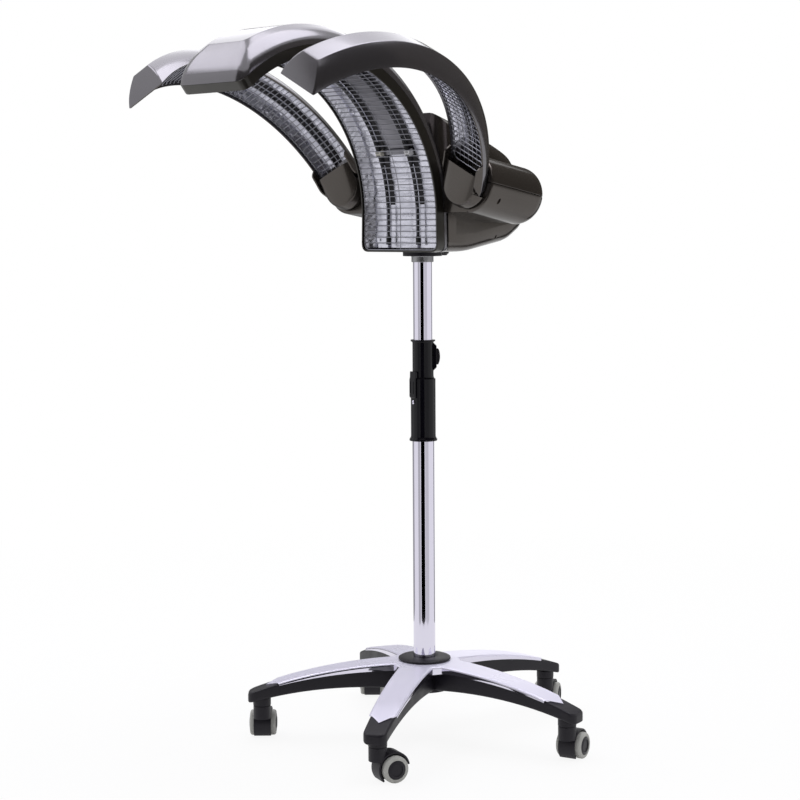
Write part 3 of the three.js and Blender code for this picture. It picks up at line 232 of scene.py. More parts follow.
# The same lacquer in a darker olive shade, on the lower frame.
TAUPE_DARK = Finish("Dark lacquer on ABS", "frame_dark", "#2a2721", "#24211c", 90, (0.3, 0.4), 2.2, 0.012,
                    metallic=0.5, coat=0.4, coat_roughness=0.1)
# Chrome plate on polished steel and ABS: a mirror with the faintest ripple.
CHROME = Finish("Chrome plate", "chrome", "#dddae8", "#d2cfde", 140, (0.03, 0.07), 45, 0.01, metallic=1.0)
# The chrome cover's upward faces painted a satin, even pale lavender, as a painted reflection of the light
# above.
CHROME_TOP_SHEEN = Finish("Chrome plate with painted sheen", "chrome", "#efecfb", "#e6e3f4", 140, (0.26, 0.34), 30, 0.01,
               metallic=0.3)
# Gloss black nylon: nearly black, with sharp narrow highlights.
GLOSS = Finish("Gloss black nylon", "black_gloss", "#0b0a10", "#0f0d14", 60, (0.12, 0.2), 3, 0.01, ior=1.3)
# Moulded black nylon: a satin black with a fine spark-eroded grain.
NYLON = Finish("Moulded black nylon", "black_plastic", "#16131b", "#1d1a22", 45, (0.38, 0.5), 1.4, 0.05,
               ior=1.36)
# Grey polyurethane: a dull, slightly rubbery tread with scuffs.
TREAD = Finish("Grey polyurethane", "caster_tread", "#bcbcb5", "#aeaea7", 14, (0.55, 0.7), 1.6, 0.05)
# Household-weight aluminium foil over the reflector: bright, creased every centimetre or so.
FOIL = Finish("Crumpled aluminium foil", "reflector_foil", "#d6d6e2", "#c4c4d0", 30, (0.2, 0.34), 13, 0.35,
              pattern=Grain.CELLS, metallic=1.0)
# Foil between the upper lamps painted greyer as painted shade, with a smoother relief than the rest.
FOIL_SHADED = Finish("Shaded aluminium foil", "reflector_foil", "#88878e", "#77767c", 40, (0.3, 0.42),
                   13, 0.2, pattern=Grain.CELLS, metallic=1.0)
# Nickel-plated steel wire: darker than the foil behind it and paler than the slots.
WIRE = Finish("Nickel-plated steel wire", "guard_wire", "#96969e", "#84848c", 25, (0.28, 0.4), 1.5, 0.02,
              metallic=1.0)
# Fused quartz: clear, faintly grey.
QUARTZ = Finish("Clear fused quartz", "quartz_lamp", "#dfe0e4", "#d4d5da", 40, (0.02, 0.05), 20, 0.01,
                ior=1.3, transmission=1.0)
# Woven carbon heating cord: a dull near-black line down the middle of a lamp.
CARBON = Finish("Carbon heating cord", "quartz_lamp", "#17161a", "#222126", 3, (0.5, 0.65), 1.0, 0.1)
# White ceramic with a matt bisque surface.
CERAMIC = Finish("White ceramic", "lamp_ceramic", "#d8d4c8", "#c6c2b6", 8, (0.5, 0.65), 0.8, 0.03)
# Plain turned steel.
STEEL = Finish("Turned steel", "plain_steel", "#9a9a9c", "#88888c", 12, (0.3, 0.45), 0.6, 0.02,
               metallic=1.0)
# Green solder mask over glass fibre.
BOARD = Finish("Solder mask", "circuit_board", "#1f5a38", "#184a2d", 10, (0.35, 0.5), 1.2, 0.03)


def take(obj: bpy.types.Object) -> None:
    """Makes one object the only one selected."""
    bpy.ops.object.select_all(action="DESELECT")
    obj.select_set(True)
    bpy.context.view_layer.objects.active = obj


def rotation(degrees: float, axis: str = "Z") -> Matrix:
    """Gives a turn about an axis through the origin."""
    return Matrix.Rotation(math.radians(degrees), 4, axis)


def draw(step: Point) -> None:
    """Draws out what is selected by a step."""
    bpy.ops.mesh.extrude_region_move(TRANSFORM_OT_translate={"value": step})


def circle(across: float, deep: float, steps: int) -> list[Flat]:
    """Gives the points of an ellipse about the origin, from its two radii."""
    turns = [math.tau * i / steps for i in range(steps)]
    return [(across * math.cos(turn), deep * math.sin(turn)) for turn in turns]


def bezier(start: Flat, knee: Flat, end: Flat, steps: int) -> list[Flat]:
    """Gives points along a quadratic curve, both ends included.

    Args:
        start: The first point.
        knee: The point that the curve is drawn to.
        end: The last point.
        steps: The number of steps.

    Returns:
        The points in order.
    """
    found = []
    for i in range(steps + 1):
        t = i / steps
        a, b, c = (1 - t) ** 2, 2 * t * (1 - t), t * t
        found.append((a * start[0] + b * knee[0] + c * end[0], a * start[1] + b * knee[1] + c * end[1]))
    return found


def rounded(corners: Sequence[Point], closed: bool = False, steps: int = 5) -> list[Flat]:
    """Rounds the corners of a flat line.

    Args:
        corners: Each corner as x, y and how far before it the round starts; 0 keeps it sharp.
        closed: Whether the line closes on itself.
        steps: The steps of each round.

    Returns:
        The points of the rounded line.
    """
    found: list[Flat] = []
    count = len(corners)
    for i, (x, y, trim) in enumerate(corners):
        if trim == 0 or (not closed and i in (0, count - 1)):
            found.append((x, y))
            continue
        here = Vector((x, y))
        before = (Vector(corners[i - 1][:2]) - here).normalized() * trim
        after = (Vector(corners[(i + 1) % count][:2]) - here).normalized() * trim
        found += bezier(tuple(here + before), (x, y), tuple(here + after), steps)
    return found


class Workpiece:
    """A mesh on the bench, in millimetres until it is finished."""

    def __init__(self, obj: bpy.types.Object) -> None:
        """Takes an object on to the bench."""
        self.obj = obj

    @classmethod
    def primitive(cls, maker: Callable[..., set], **size: object) -> "Workpiece":
        """Starts from a primitive at its size and place.

        Args:
            maker: The operator that adds it.
            **size: The operator's settings.

        Returns:
            The new piece.
        """
        bpy.ops.object.select_all(action="DESELECT")
        maker(**size)
        bpy.ops.object.transform_apply(location=True, rotation=True, scale=True)
        return cls(bpy.context.object)

    @classmethod
    def block(cls, low: Point, high: Point) -> "Workpiece":
        """Starts from a cube between two corners."""
        middle = [(a + b) / 2 for a, b in zip(low, high)]
        size = [b - a for a, b in zip(low, high)]
        return cls.primitive(bpy.ops.mesh.primitive_cube_add, size=1, location=middle, scale=size)

    @classmethod
    def rod(cls, radius: float, start: Point, end: Point, sides: int = 48) -> "Workpiece":
        """Starts from a cylinder between two points."""
        run = Vector(end) - Vector(start)
        turn = run.to_track_quat("Z", "Y").to_euler()
        middle = (Vector(start) + Vector(end)) / 2
        return cls.primitive(
            bpy.ops.mesh.primitive_cylinder_add, vertices=sides, radius=radius, depth=run.length,
            location=middle, rotation=turn,
        )

    @classmethod
    def traced(cls, points: Sequence[Point], line: Line = Line.FACE) -> "Workpiece":
        """Draws a line from point to point, vertex by vertex.

        Args:
            points: The points in order.
            line: How the line ends.

        Returns:
            The traced piece.
        """
        piece = cls.primitive(bpy.ops.mesh.primitive_plane_add, size=1)
        with piece.editing(whole=True):
            bpy.ops.mesh.merge(type="CENTER")
            bpy.ops.transform.translate(value=points[0])
            for before, after in zip(points, points[1:]):
                step = Vector(after) - Vector(before)
                bpy.ops.mesh.extrude_vertices_move(TRANSFORM_OT_translate={"value": step})
            if line is Line.RING:
                ends = (Vector(points[0]), Vector(points[-1]))
                piece.pick(Pick.VERTS, lambda p, n: min((p - e).length for e in ends) < 1e-3)
                bpy.ops.mesh.edge_face_add()
            elif line is Line.FACE:
                bpy.ops.mesh.select_all(action="SELECT")
                bpy.ops.mesh.edge_face_add()
        return piece

    @classmethod
    def prism(cls, outline: Sequence[Point], step: Point) -> "Workpiece":
        """Fills an outline and draws it out by a step."""
        piece = cls.traced(outline)
        with piece.editing(whole=True):
            draw(step)
        piece.tidy()
        return piece

    @classmethod
    def turned(cls, profile: Sequence[Flat], sides: int = 64) -> "Workpiece":
        """Turns a closed profile of radius and height about Z, as on a lathe."""
        piece = cls.traced([(r, 0, z) for r, z in profile], Line.RING)
        with piece.editing(whole=True):
            bpy.ops.mesh.spin(
                steps=sides, angle=math.tau, center=(0, 0, 0), axis=(0, 0, 1), use_auto_merge=True
            )
        piece.tidy()
        return piece

    @classmethod
    def wire(
        cls, points: Sequence[Point], radius: float, line: Line = Line.OPEN, rounding: int = 1
    ) -> "Workpiece":
        """Makes a round wire along a traced line."""
        piece = cls.traced(points, line)
        take(piece.obj)
        bpy.ops.object.convert(target="CURVE")
        curve = bpy.context.object.data
        curve.bevel_depth = radius
        curve.bevel_resolution = rounding
        curve.use_fill_caps = True
        bpy.ops.object.convert(target="MESH")
        made = cls(bpy.context.object)
        made.tidy()
        return made

    @contextmanager
    def editing(self, whole: bool = False) -> Iterator[None]:
        """Opens the piece in edit mode with nothing selected, or with all of it."""
        take(self.obj)
        bpy.ops.object.mode_set(mode="EDIT")
        bpy.ops.mesh.select_mode(type=Pick.VERTS.value)
        bpy.ops.mesh.select_all(action="SELECT" if whole else "DESELECT")
        yield
        bpy.ops.object.mode_set(mode="OBJECT")

    def pick(self, what: Pick, test: Test) -> None:
        """Selects parts of the open piece by their place and direction.

        Args:
            what: The kind of part.
            test: Takes a part's middle, and its normal or an edge's direction.
        """
        bpy.ops.mesh.select_mode(type=what.value)
        bpy.ops.mesh.select_all(action="DESELECT")
        mesh = bmesh.from_edit_mesh(self.obj.data)
        if what is Pick.FACES:
            found = [f for f in mesh.faces if test(f.calc_center_median(), f.normal)]
        elif what is Pick.VERTS:
            found = [v for v in mesh.verts if test(v.co, v.normal)]
        else:
            ends = [(e, e.verts[0].co, e.verts[1].co) for e in mesh.edges]
            found = [e for e, a, b in ends if test((a + b) / 2, (b - a).normalized())]
        for part in found:
            part.select_set(True)
        mesh.select_flush_mode()
        bmesh.update_edit_mesh(self.obj.data)

    def bevel(self, offset: float, segments: int, test: Test) -> None:
        """Rounds the edges that a test picks."""
        with self.editing():
            self.pick(Pick.EDGES, test)
            bpy.ops.mesh.bevel(offset=offset, segments=segments, affect="EDGES")

    def tidy(self) -> None:
        """Merges doubles and turns every face outwards."""
        with self.editing(whole=True):
            bpy.ops.mesh.remove_doubles(threshold=0.01)
            bpy.ops.mesh.normals_make_consistent(inside=False)

    def clean(self) -> None:
        """Takes out the slivers that cutting leaves behind."""
        with self.editing(whole=True):
            bpy.ops.mesh.dissolve_degenerate(threshold=0.01)

    def modify(self, kind: str, **settings: object) -> None:
        """Adds a modifier with its settings and applies it."""
        take(self.obj)
        modifier = self.obj.modifiers.new(kind.lower(), kind)
        for key, value in settings.items():
            setattr(modifier, key, value)
        bpy.ops.object.modifier_apply(modifier=modifier.name)

    def soften(self, width: float, segments: int = 2, angle: float = 35.0) -> None:
        """Rounds every edge that is sharper than an angle."""
        self.modify("BEVEL", width=width, segments=segments, limit_method="ANGLE",
                    angle_limit=math.radians(angle))

    def join(self, other: "Workpiece", how: Join = Join.ADD) -> "Workpiece":
        """Joins, cuts or trims the piece with another, which is used up."""
        self.modify("BOOLEAN", operation=how.value, solver="EXACT", object=other.obj)
        other.scrap()
        return self

    def gather(self, *others: "Workpiece") -> "Workpiece":
        """Puts other pieces in the same mesh, each still a body of its own."""
        take(self.obj)
        for other in others:
            other.obj.select_set(True)
        bpy.ops.object.join()
        return self

    def copy(self, where: Matrix | None = None) -> "Workpiece":
        """Copies the piece with its own mesh, and places the copy."""
        take(self.obj)
        bpy.ops.object.duplicate(linked=False)
        made = Workpiece(bpy.context.object)
        made.place(where or Matrix())
        return made

    def place(self, where: Matrix) -> "Workpiece":
        """Moves the piece, with its place kept in the mesh."""
        take(self.obj)
        self.obj.matrix_world = where
        bpy.ops.object.transform_apply(location=True, rotation=True, scale=True)
        return self

    def scrap(self) -> None:
        """Takes the piece off the bench."""
        bpy.data.objects.remove(self.obj)

    def paint(self, finish: Finish, test: Test | None = None) -> None:
        """Gives the faces that a test picks, or all of them, a second finish."""
        materials = self.obj.data.materials
        if not materials:
            materials.append(None)
        materials.append(finish.material())
        for face in self.obj.data.polygons:
            if test is None or test(face.center, face.normal):
                face.material_index = len(materials) - 1

    def finish(
        self, name: str, body: str, finish: Finish, *nodes: str, angle: float = 35.0
    ) -> bpy.types.Object:
        """Brings the piece to metres, dresses it and fastens it to a body.

        Args:
            name: The piece's name.
            body: The body that it rides on.
            finish: Its finish.
            *nodes: The solids that it stands for.
            angle: The angle above which an edge stays sharp.

        Returns:
            The finished object.
        """
        self.clean()
        self.place(Matrix.Scale(MM, 4))
        self.obj.name = self.obj.data.name = name
        bpy.ops.object.shade_smooth_by_angle(angle=math.radians(angle))
        self.modify("WEIGHTED_NORMAL", keep_sharp=True)
        materials = self.obj.data.materials
        if materials:
            materials[0] = finish.material()
        else:
            materials.append(finish.material())
        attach(self.obj, body)
        if nodes:
            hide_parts(*nodes)
        LOG.info("%s: %d faces on %s", name, len(self.obj.data.polygons), body)
        return self.obj


@dataclass(frozen=True)
class ArmPath:
    """A heated arm's path: a straight riser, then an arc over to the tip."""

    axis_y: float
    axis_z: float
    radius: float
    start: float
    tip: float
    riser: float = 0.0
    taper: float = 0.0

    @property
    def length(self) -> float:
        """The path's length."""
        return self.riser + self.radius * math.radians(self.start - self.tip)

    def at(self, across: float, distance: float, depth: float) -> Vector:
        """Gives the place of a point of the flat pattern.

        Args:
            across: How far it lies across the arm.
            distance: How far it lies along the path.
            depth: How far it lies behind the path.

        Returns:
            The point in the arm's frame.
        """
        run = max(distance - self.riser, 0)
        drop = max(self.riser - distance, 0)
        angle = math.radians(self.start) - run / self.radius
        reach = self.radius + depth
        narrow = 1 - self.taper * max(distance, 0) / self.length
        y = self.axis_y - reach * math.cos(angle)
        return Vector((across * narrow, y, self.axis_z + reach * math.sin(angle) - drop))

    def stops(self, start: float, end: float, step: float = SLICE) -> list[float]:
        """Gives even stops between two distances, both ends included."""
        count = max(1, round((end - start) / step))
        return [start + (end - start) * i / count for i in range(count + 1)]

    def slice(self, piece: Workpiece, start: float, end: float, step: float = SLICE) -> None:
        """Cuts a flat piece across at even stops, so that it can bend."""
        with piece.editing():
            for stop in self.stops(start, end, step)[1:-1]:
                bpy.ops.mesh.select_all(action="SELECT")
                bpy.ops.mesh.bisect(plane_co=(0, stop, 0), plane_no=(0, 1, 0))

    def wrap(self, piece: Workpiece) -> Workpiece:
        """Forms a flat piece along the path, as sheet and wire are formed after cutting."""
        for vertex in piece.obj.data.vertices:
            vertex.co = self.at(*vertex.co)
        with piece.editing(whole=True):
            bpy.ops.mesh.flip_normals()
        return piece


@dataclass
class ArmForm:
    """The sizes that the three heated arms share, and how their pieces are formed flat."""

    path: ArmPath
    half_width: float
    band: float
    depth: float
    base: float
    slant: float
    wall: float = 3.0
    draft: float = 0.985
    side_share: float = 0.3
    shoulder_width: float = 0.58
    shoulder_share: float = 0.72
    net_depth: float = 4.0
    net_pitch: float = 11.0
    wire: float = 0.95
    lamp_depth: float = 13.0
    lamp_radius: float = 5.0
    bed: float = 22.0
    bed_rim: float = 7.0
    bed_slope: float = 12.0
    bed_edge: float = 2.0
    slot_half: float = 10.5
    slot_depth: float = 27.0
    tip_round: float = 1.2
    tip_curl: float = 0.0
    foot_round: float = 14.0
    side_trim: float = 0.24
    shoulder_trim: float = 0.26
    edge_round: float = 1.2
    net_corner: float = 13.0
    net_tip_corner: float = 4.0
    border: float = 1.2
    spine_share: float = 0.8
    foil_step: float = 16.0
    foil_crumple: float = 0.7
    foil_thick: float = 0.8
    cap_length: float = 16.0
    cap_hold: float = 6.0
    cord_radius: float = 1.9

    def hood(self, grow: float = 0.0, reach: float = 0.0, soft: bool = True) -> list[Flat]:
        """Gives the hooded section from its right foot over the top to its left foot.

        Args:
            grow: A margin added all round.
            reach: How far the feet go on below the base.
            soft: Whether the shoulders are rounded.

        Returns:
            Points of across and depth.
        """
        rise = self.depth - self.base
        half, band = self.half_width, self.band
        side, shoulder = (self.side_trim * rise, self.shoulder_trim * rise) if soft else (0, 0)
        shoulder_x = band + (half - band) * self.shoulder_width
        right = [
            (half + grow, self.base - reach, 0),
            (half * self.draft + grow, self.base + rise * self.side_share + grow, side),
            (shoulder_x + grow, self.base + rise * self.shoulder_share + grow, shoulder),
            (band + grow, self.depth + grow, 0),
        ]
        left = [(-x, z, trim) for x, z, trim in reversed(right)]
        return rounded(right + left)

    def shell(self, foot: bool, cheek: Sequence[Flat] = ()) -> Workpiece:
        """Draws the hooded shell up from its rim, level by level, with its slanted tip.

        Args:
            foot: Whether the lower end is closed.
            cheek: How far the sides of an open foot reach forward, as places along the arm and reaches.

        Returns:
            The shell in the arm's frame.
        """
        end = self.path.length
        setback = self.path.radius * math.radians(self.slant)
        section = self.hood()
        levels = []
        for x, z in section[:len(section) // 2]:
            share = (z - self.base) / (self.depth - self.base)
            levels.append((x, end - setback * (share - self.tip_curl * (1 - share) * share), z))
        wide, far, low = levels[0]
        heel, tip = self.foot_round if foot else 0.0, self.tip_round
        start = cheek[0][0] if cheek else 0.0
        corners = [(wide, start, heel), (wide, far, tip), (-wide, far, tip), (-wide, start, heel)]
        rim = rounded(corners, foot, 8)
        piece = Workpiece.traced([(x, y, low) for x, y in rim], Line.RING if foot else Line.OPEN)
        with piece.editing(whole=True):
            for before, after in zip(levels, levels[1:]):
                draw((0, 0, after[2] - before[2]))
                bpy.ops.transform.resize(value=(after[0] / before[0], after[1] / before[1], 1),
                                         center_override=(0, 0, after[2]))
            bpy.ops.mesh.edge_face_add()
        piece.bevel(self.edge_round, 2, lambda p, n: p.z > self.depth - NEAR and p.y > NEAR)
        self.path.slice(piece, start, end)
        if cheek:
            self.draw_cheeks(piece, cheek)
        piece.tidy()
        with piece.editing():
            piece.pick(Pick.FACES, lambda p, n: p.z > self.depth - 2 * NEAR)
            top = bmesh.from_edit_mesh(piece.obj.data)
            if any(f.normal.z < 0 for f in top.faces if f.select):
                bpy.ops.mesh.select_all(action="SELECT")
                bpy.ops.mesh.flip_normals()
        piece.modify("SOLIDIFY", thickness=self.wall, offset=-1.0, use_even_offset=True)
        if cheek:
            # Painted shade: the cheeks below the rim take the darker copy of the lacquer.
            piece.paint(TAUPE_SHADED, lambda p, n: p.z < self.base - NEAR)
        return self.path.wrap(piece)

    def draw_cheeks(self, piece: Workpiece, cheek: Sequence[Flat]) -> None:
        """Draws the sides of an open shell forward near its foot, stop by stop.

        Args:
            piece: The open shell, still flat.
            cheek: Places along the arm, each with how far forward the sides reach there.
        """
        self.path.slice(piece, cheek[0][0], cheek[-1][0], SLICE / 2)
        low, wide, end = self.base, self.half_width, cheek[-1][0]
        with piece.editing():
            piece.pick(Pick.EDGES, lambda p, n: p.z < low + NEAR and abs(p.x) > wide - NEAR and p.y < end)
            draw((0, 0, -2 * NEAR))
            edge = [v for v in bmesh.from_edit_mesh(piece.obj.data).verts if v.select]
            for stop in sorted({round(v.co.y, 3) for v in edge}):
                spans = [(a, b) for a, b in zip(cheek, cheek[1:]) if stop <= b[0] + 2 * NEAR]
                before, after = spans[0] if spans else cheek[-2:]
                share = (stop - before[0]) / (after[0] - before[0])
                piece.pick(Pick.VERTS, lambda p, n: p.z < low - NEAR and abs(p.y - stop) < NEAR / 5)
                bpy.ops.transform.translate(value=(0, 0, -before[1] - (after[1] - before[1]) * share))

    def throat(self, grow: float, start: float, end: float, reach: float) -> Workpiece:
        """Forms a solid of the section, for trimming what lies against the arm."""
        outline = [(x, start, z) for x, z in self.hood(grow, reach, soft=False)]
        piece = Workpiece.prism(outline, (0, end - start, 0))
        self.path.slice(piece, start, end, 10)
        return self.path.wrap(piece)

    def net(self, half: float, start: float, end: float, lengthwise: Sequence[float]) -> Workpiece:
        """Forms the wire guard: a border, cross wires with turned-back ends, and wires along the arm.

        Args:
            half: Half the guard's width.
            start: Where it starts along the path.
            end: Where it ends.
            lengthwise: Where the wires along the arm lie across it.

        Returns:
            The guard in the arm's frame.
        """
        rows = round((end - start - 8) / self.net_pitch)
        pitch = (end - start - 6) / rows
        z, edge = self.net_depth, half - 3
        hook = [(edge + 1.6, 0, z + 3.2), (edge + 2.2, 0, z + 0.8), (edge + 1.6, 0, z - 1.2),
                (edge, 0, z - 2.2), (edge - 1.8, 0, z - 1.6), (edge - 4, 0, z)]
        cross = Workpiece.wire(hook + [(-x, y, d) for x, y, d in reversed(hook)], self.wire)
        cross.place(Matrix.Translation((0, start + 3 + pitch, 0)))
        cross.modify("ARRAY", count=rows - 1, use_relative_offset=False, use_constant_offset=True,
                     constant_offset_displace=(0, pitch, 0))
        low, high, foot, tip = start + 1, end - 1, self.net_corner, self.net_tip_corner
        corners = [(edge, low, foot), (edge, high, tip), (-edge, high, tip), (-edge, low, foot)]
        ring = rounded(corners, True)
        loop: list[Point] = []
        for before, after in zip(ring, ring[1:] + ring[:1]):
            steps = max(1, round(math.dist(before, after) / SLICE))
            loop += [(before[0] + (after[0] - before[0]) * i / steps,
                      before[1] + (after[1] - before[1]) * i / steps, z) for i in range(steps)]
        border = Workpiece.wire(loop, self.border, Line.RING)
        stops, thin = self.path.stops(low, high), self.wire * self.spine_share
        spines = [Workpiece.wire([(x, d, z + self.border) for d in stops], thin) for x in lengthwise]
        return self.path.wrap(cross.gather(border, *spines))

    def trough(self, start: float, end: float, lamps: Sequence[float], shaded_slots_from: float = 0.0,
               shaded_from: float = math.inf) -> Workpiece:
        """Forms the foil reflector with a slot behind each lamp, painted dark as painted shade.

        Args:
            start: Where it starts along the path.
            end: Where it ends.
            lamps: Where the lamps lie across the arm, from the left to the right.
            shaded_slots_from: Where the slots behind the lamps start to be painted dark as shade, along
                the path.
            shaded_from: Where the foil between the lamps starts to be painted darker, as painted shade.

        Returns:
            The reflector in the arm's frame.
        """
        rim = self.half_width - self.wall - self.bed_edge
        flat = rim - self.bed_slope
        line = [(-rim, self.bed_rim), (-flat, self.bed)]
        for lamp in lamps:
            near, far = lamp - self.slot_half, lamp + self.slot_half
            floor = self.slot_depth
            line += [(near, self.bed), (near + 1, floor), (far - 1, floor), (far, self.bed)]
        line += [(flat, self.bed), (rim, self.bed_rim)]
        piece = Workpiece.traced([(x, start, z) for x, z in line], Line.OPEN)
        with piece.editing(whole=True):
            draw((0, end - start, 0))
        self.path.slice(piece, start, end, self.foil_step)

        def foil(p: Vector, n: Vector) -> bool:
            """Tells whether a place lies outside the slots."""
            return all(abs(p.x - lamp) > self.slot_half + 2 * NEAR for lamp in lamps)

        # Painted shade: the slots behind the lamps take the black nylon finish from a set place along the
        # arm.
        piece.paint(NYLON, lambda p, n: not foil(p, n) and p.y > shaded_slots_from)
        # Painted shade: the foil between the lamps, from a set place along the arm, takes the greyer foil
        # finish.
        piece.paint(FOIL_SHADED, lambda p, n: foil(p, n) and p.y > shaded_from and lamps[0] < p.x < lamps[-1])
        with piece.editing():
            piece.pick(Pick.FACES, foil)
            bpy.ops.mesh.subdivide(number_cuts=1)
            piece.pick(Pick.FACES, foil)
            bpy.ops.mesh.subdivide(
                number_cuts=2, fractal=self.foil_crumple, fractal_along_normal=1.0, seed=5
            )
        self.path.wrap(piece)
        piece.modify("SOLIDIFY", thickness=self.foil_thick, offset=0.0)
        return piece

    def lamp(self, across: float, start: float, end: float) -> tuple[Workpiece, Workpiece]:
        """Forms a lamp: a quartz tube with its heating cord, and two end caps.

        Args:
            across: Where it lies across the arm.
            start: Where it starts along the path.
            end: Where it ends.

        Returns:
            The quartz with its cord, and the caps.
        """
        def line(near: float, far: float, step: float) -> list[Point]:
            """Gives the lamp's middle line between two places."""
            return [(across, d, self.lamp_depth) for d in self.path.stops(near, far, step)]

        span = line(start + self.cap_hold, end - self.cap_hold, 10)
        tube = Workpiece.wire(span, self.lamp_radius - GAP, rounding=4)
        tube.obj.data.materials.append(QUARTZ.material())
        cord = Workpiece.wire(span, self.cord_radius, rounding=2)
        cord.paint(CARBON)
        ends = ((start, start + self.cap_length), (end - self.cap_length, end))
        half = self.cap_length / 2
        caps = [Workpiece.wire(line(*pair, half), self.lamp_radius, rounding=4) for pair in ends]
        return self.path.wrap(tube.gather(cord)), self.path.wrap(caps[0].gather(caps[1]))


@dataclass
class Base:
    """The star, its chrome cover, the disc at the pole's foot and the outer tube."""

    turn: float = LEG_TURN
    count: int = 5
    reach: float = 347.8
    root: float = 40
    root_width: float = 62
    tip_width: float = 44
    shoulder: float = 190
    hub_radius: float = 52
    hub_bottom: float = 97
    hub_top: float = 152
    tip_top: float = 94
    tip_drop: float = 20
    arch: float = 23
    stem_reach: float = STEM_REACH
    socket_radius: float = 17.5
    socket_bottom: float = 67
    cover_wall: float = 2.5
    cover_skirt: float = 15
    cover_hem: float = 6
    cover_end: float = 286
    cover_point: float = 27
    cover_start: float = 44
    cover_first: float = 60
    cover_steps: int = 10
    cover_round: float = 5
    cap_radius: float = 70
    cap_ring: float = 40
    tube_radius: float = 21.5
    tube_wall: float = 1.5
    tube_top: float = 690
    disc_radius: float = 51.5
    disc_height: float = 6
    plug_radius: float = 28
    plug_spigot: float = 19.6
    plug_length: float = 28
    leg_step: float = 22
    leg_round: float = 4
    tip_round: float = 13
    socket_sink: float = 12

    def along(self, x: float, start: float, knee: float, end: float) -> float:
        """Gives the height of one of the leg's curves at a reach."""
        bend = self.reach - 2 * self.shoulder
        t = (-2 * self.shoulder + math.sqrt(4 * self.shoulder ** 2 + 4 * bend * x)) / (2 * bend)
        return (1 - t) ** 2 * start + 2 * t * (1 - t) * knee + t * t * end

    def top(self, x: float) -> float:
        """Gives the height of a leg's back at a reach."""
        return self.along(x, self.hub_top, self.hub_top, self.tip_top)

    def half_width(self, x: float) -> float:
        """Gives half a leg's width at a reach."""
        share = max(x - self.root, 0) / (self.reach - self.root)
        return (self.root_width + (self.tip_width - self.root_width) * share) / 2

    def draw_out(self, stops: Sequence[tuple[float, float, float, float]]) -> None:
        """Extrudes the selected section from stop to stop: reach, middle, half width and height."""
        for before, after in zip(stops, stops[1:]):
            step = (after[0] - before[0], 0, after[1] - before[1])
            draw(step)
            bpy.ops.transform.resize(value=(1, after[2] / before[2], after[3] / before[3]),
                                     center_override=(after[0], 0, after[1]))

    def star_leg(self) -> Workpiece:
        """Makes one leg along +X with its caster socket."""
        stops = []
        steps = int((self.reach - self.root) / self.leg_step)
        crown, tip = self.hub_bottom + self.arch, self.tip_top - self.tip_drop
        for x in [0] + [self.root + self.leg_step * i for i in range(steps + 1)] + [self.reach]:
            top = self.top(x) - 0.2
            low = self.along(x, self.hub_bottom + 0.5, crown, tip)
            stops.append((x, (top + low) / 2, self.half_width(x), top - low))
        _, middle, half, height = stops[0]
        low, high = middle - height / 2, middle + height / 2
        leg = Workpiece.traced([(0, -half, low), (0, half, low), (0, half, high), (0, -half, high)])
        with leg.editing(whole=True):
            self.draw_out(stops)
        leg.tidy()
        leg.bevel(self.tip_round, 5, lambda p, n: p.x > self.reach - 1 and abs(n.z) > ALONG)
        leg.soften(self.leg_round, 3, 40)
        x, high = self.stem_reach, self.tip_top - self.socket_sink
        socket = Workpiece.rod(self.socket_radius, (x, 0, self.socket_bottom), (x, 0, high))
        socket.soften(1.0)
        return leg.join(socket)

    def add_legs(self, middle: Workpiece, leg: Workpiece) -> Workpiece:
        """Joins a copy of a leg to the middle in each direction, and uses the leg up."""
        for i in range(self.count):
            middle.join(leg.copy(rotation(self.turn + 360 * i / self.count)))
        leg.scrap()
        return middle

    def star(self) -> Workpiece:
        """Makes the star from its hub and five legs."""
        hub = Workpiece.rod(self.hub_radius, (0, 0, self.hub_bottom), (0, 0, self.hub_top), 64)
        hub.soften(2)
        return self.add_legs(hub, self.star_leg())

    def cover_leg(self) -> Workpiece:
        """Makes the chrome skin of one leg, with its pointed end."""
        lift = GAP + self.cover_wall
        stops = []
        step = (self.cover_end - self.cover_first) / self.cover_steps
        for x in [self.cover_start] + [self.cover_first + step * i for i in range(self.cover_steps + 1)]:
            share = (x - self.cover_start) / (self.cover_end - self.cover_start)
            skirt = self.cover_skirt - (self.cover_skirt - self.cover_hem) * share
            stops.append((x, self.top(x) + lift - skirt / 2, self.half_width(x) + lift, skirt))
        first, middle, half, height = stops[0]
        low, high = middle - height / 2, middle + height / 2
        section = [(-half, low), (-half, high), (0, high), (half, high), (half, low)]
        leg = Workpiece.traced([(first, y, z) for y, z in section], Line.OPEN)
        with leg.editing(whole=True):
            self.draw_out(stops)
            end = stops[-1][0]
            leg.pick(Pick.VERTS, lambda p, n: abs(p.x - end) < 0.1 and abs(p.y) < 0.1)
            drop = self.top(end + self.cover_point) - self.top(end)
            bpy.ops.transform.translate(value=(self.cover_point, 0, drop - 1.0))
        leg.tidy()
        leg.bevel(
            self.cover_round, 4, lambda p, n: abs(n.x) > 0.5 and abs(p.y) > 15 and p.z > self.top(p.x) - 1
        )
        leg.modify("SOLIDIFY", thickness=self.cover_wall, offset=-1.0, use_even_offset=True)
        return leg

    def cover(self) -> Workpiece:
        """Makes the chrome cover from a shallow cap and five skins."""
        lift, wall, rim = GAP + self.cover_wall, self.cover_wall, self.cap_radius
        bore = self.tube_radius + GAP
        skin = [(r, self.top(r) + lift) for r in (bore, self.cap_ring, rim - 5)]
        brim = self.top(rim) + lift
        skin += bezier((rim - 4, brim), (rim, brim), (rim, brim - 4), 4)
        hem = brim - self.cover_skirt
        under = [(rim, hem), (rim - wall, hem), (rim - wall, brim - 5)]
        under += [(r, self.top(r) + lift - wall) for r in (self.cap_ring, bore)]
        return self.add_legs(Workpiece.turned(skin + under, 80), self.cover_leg())

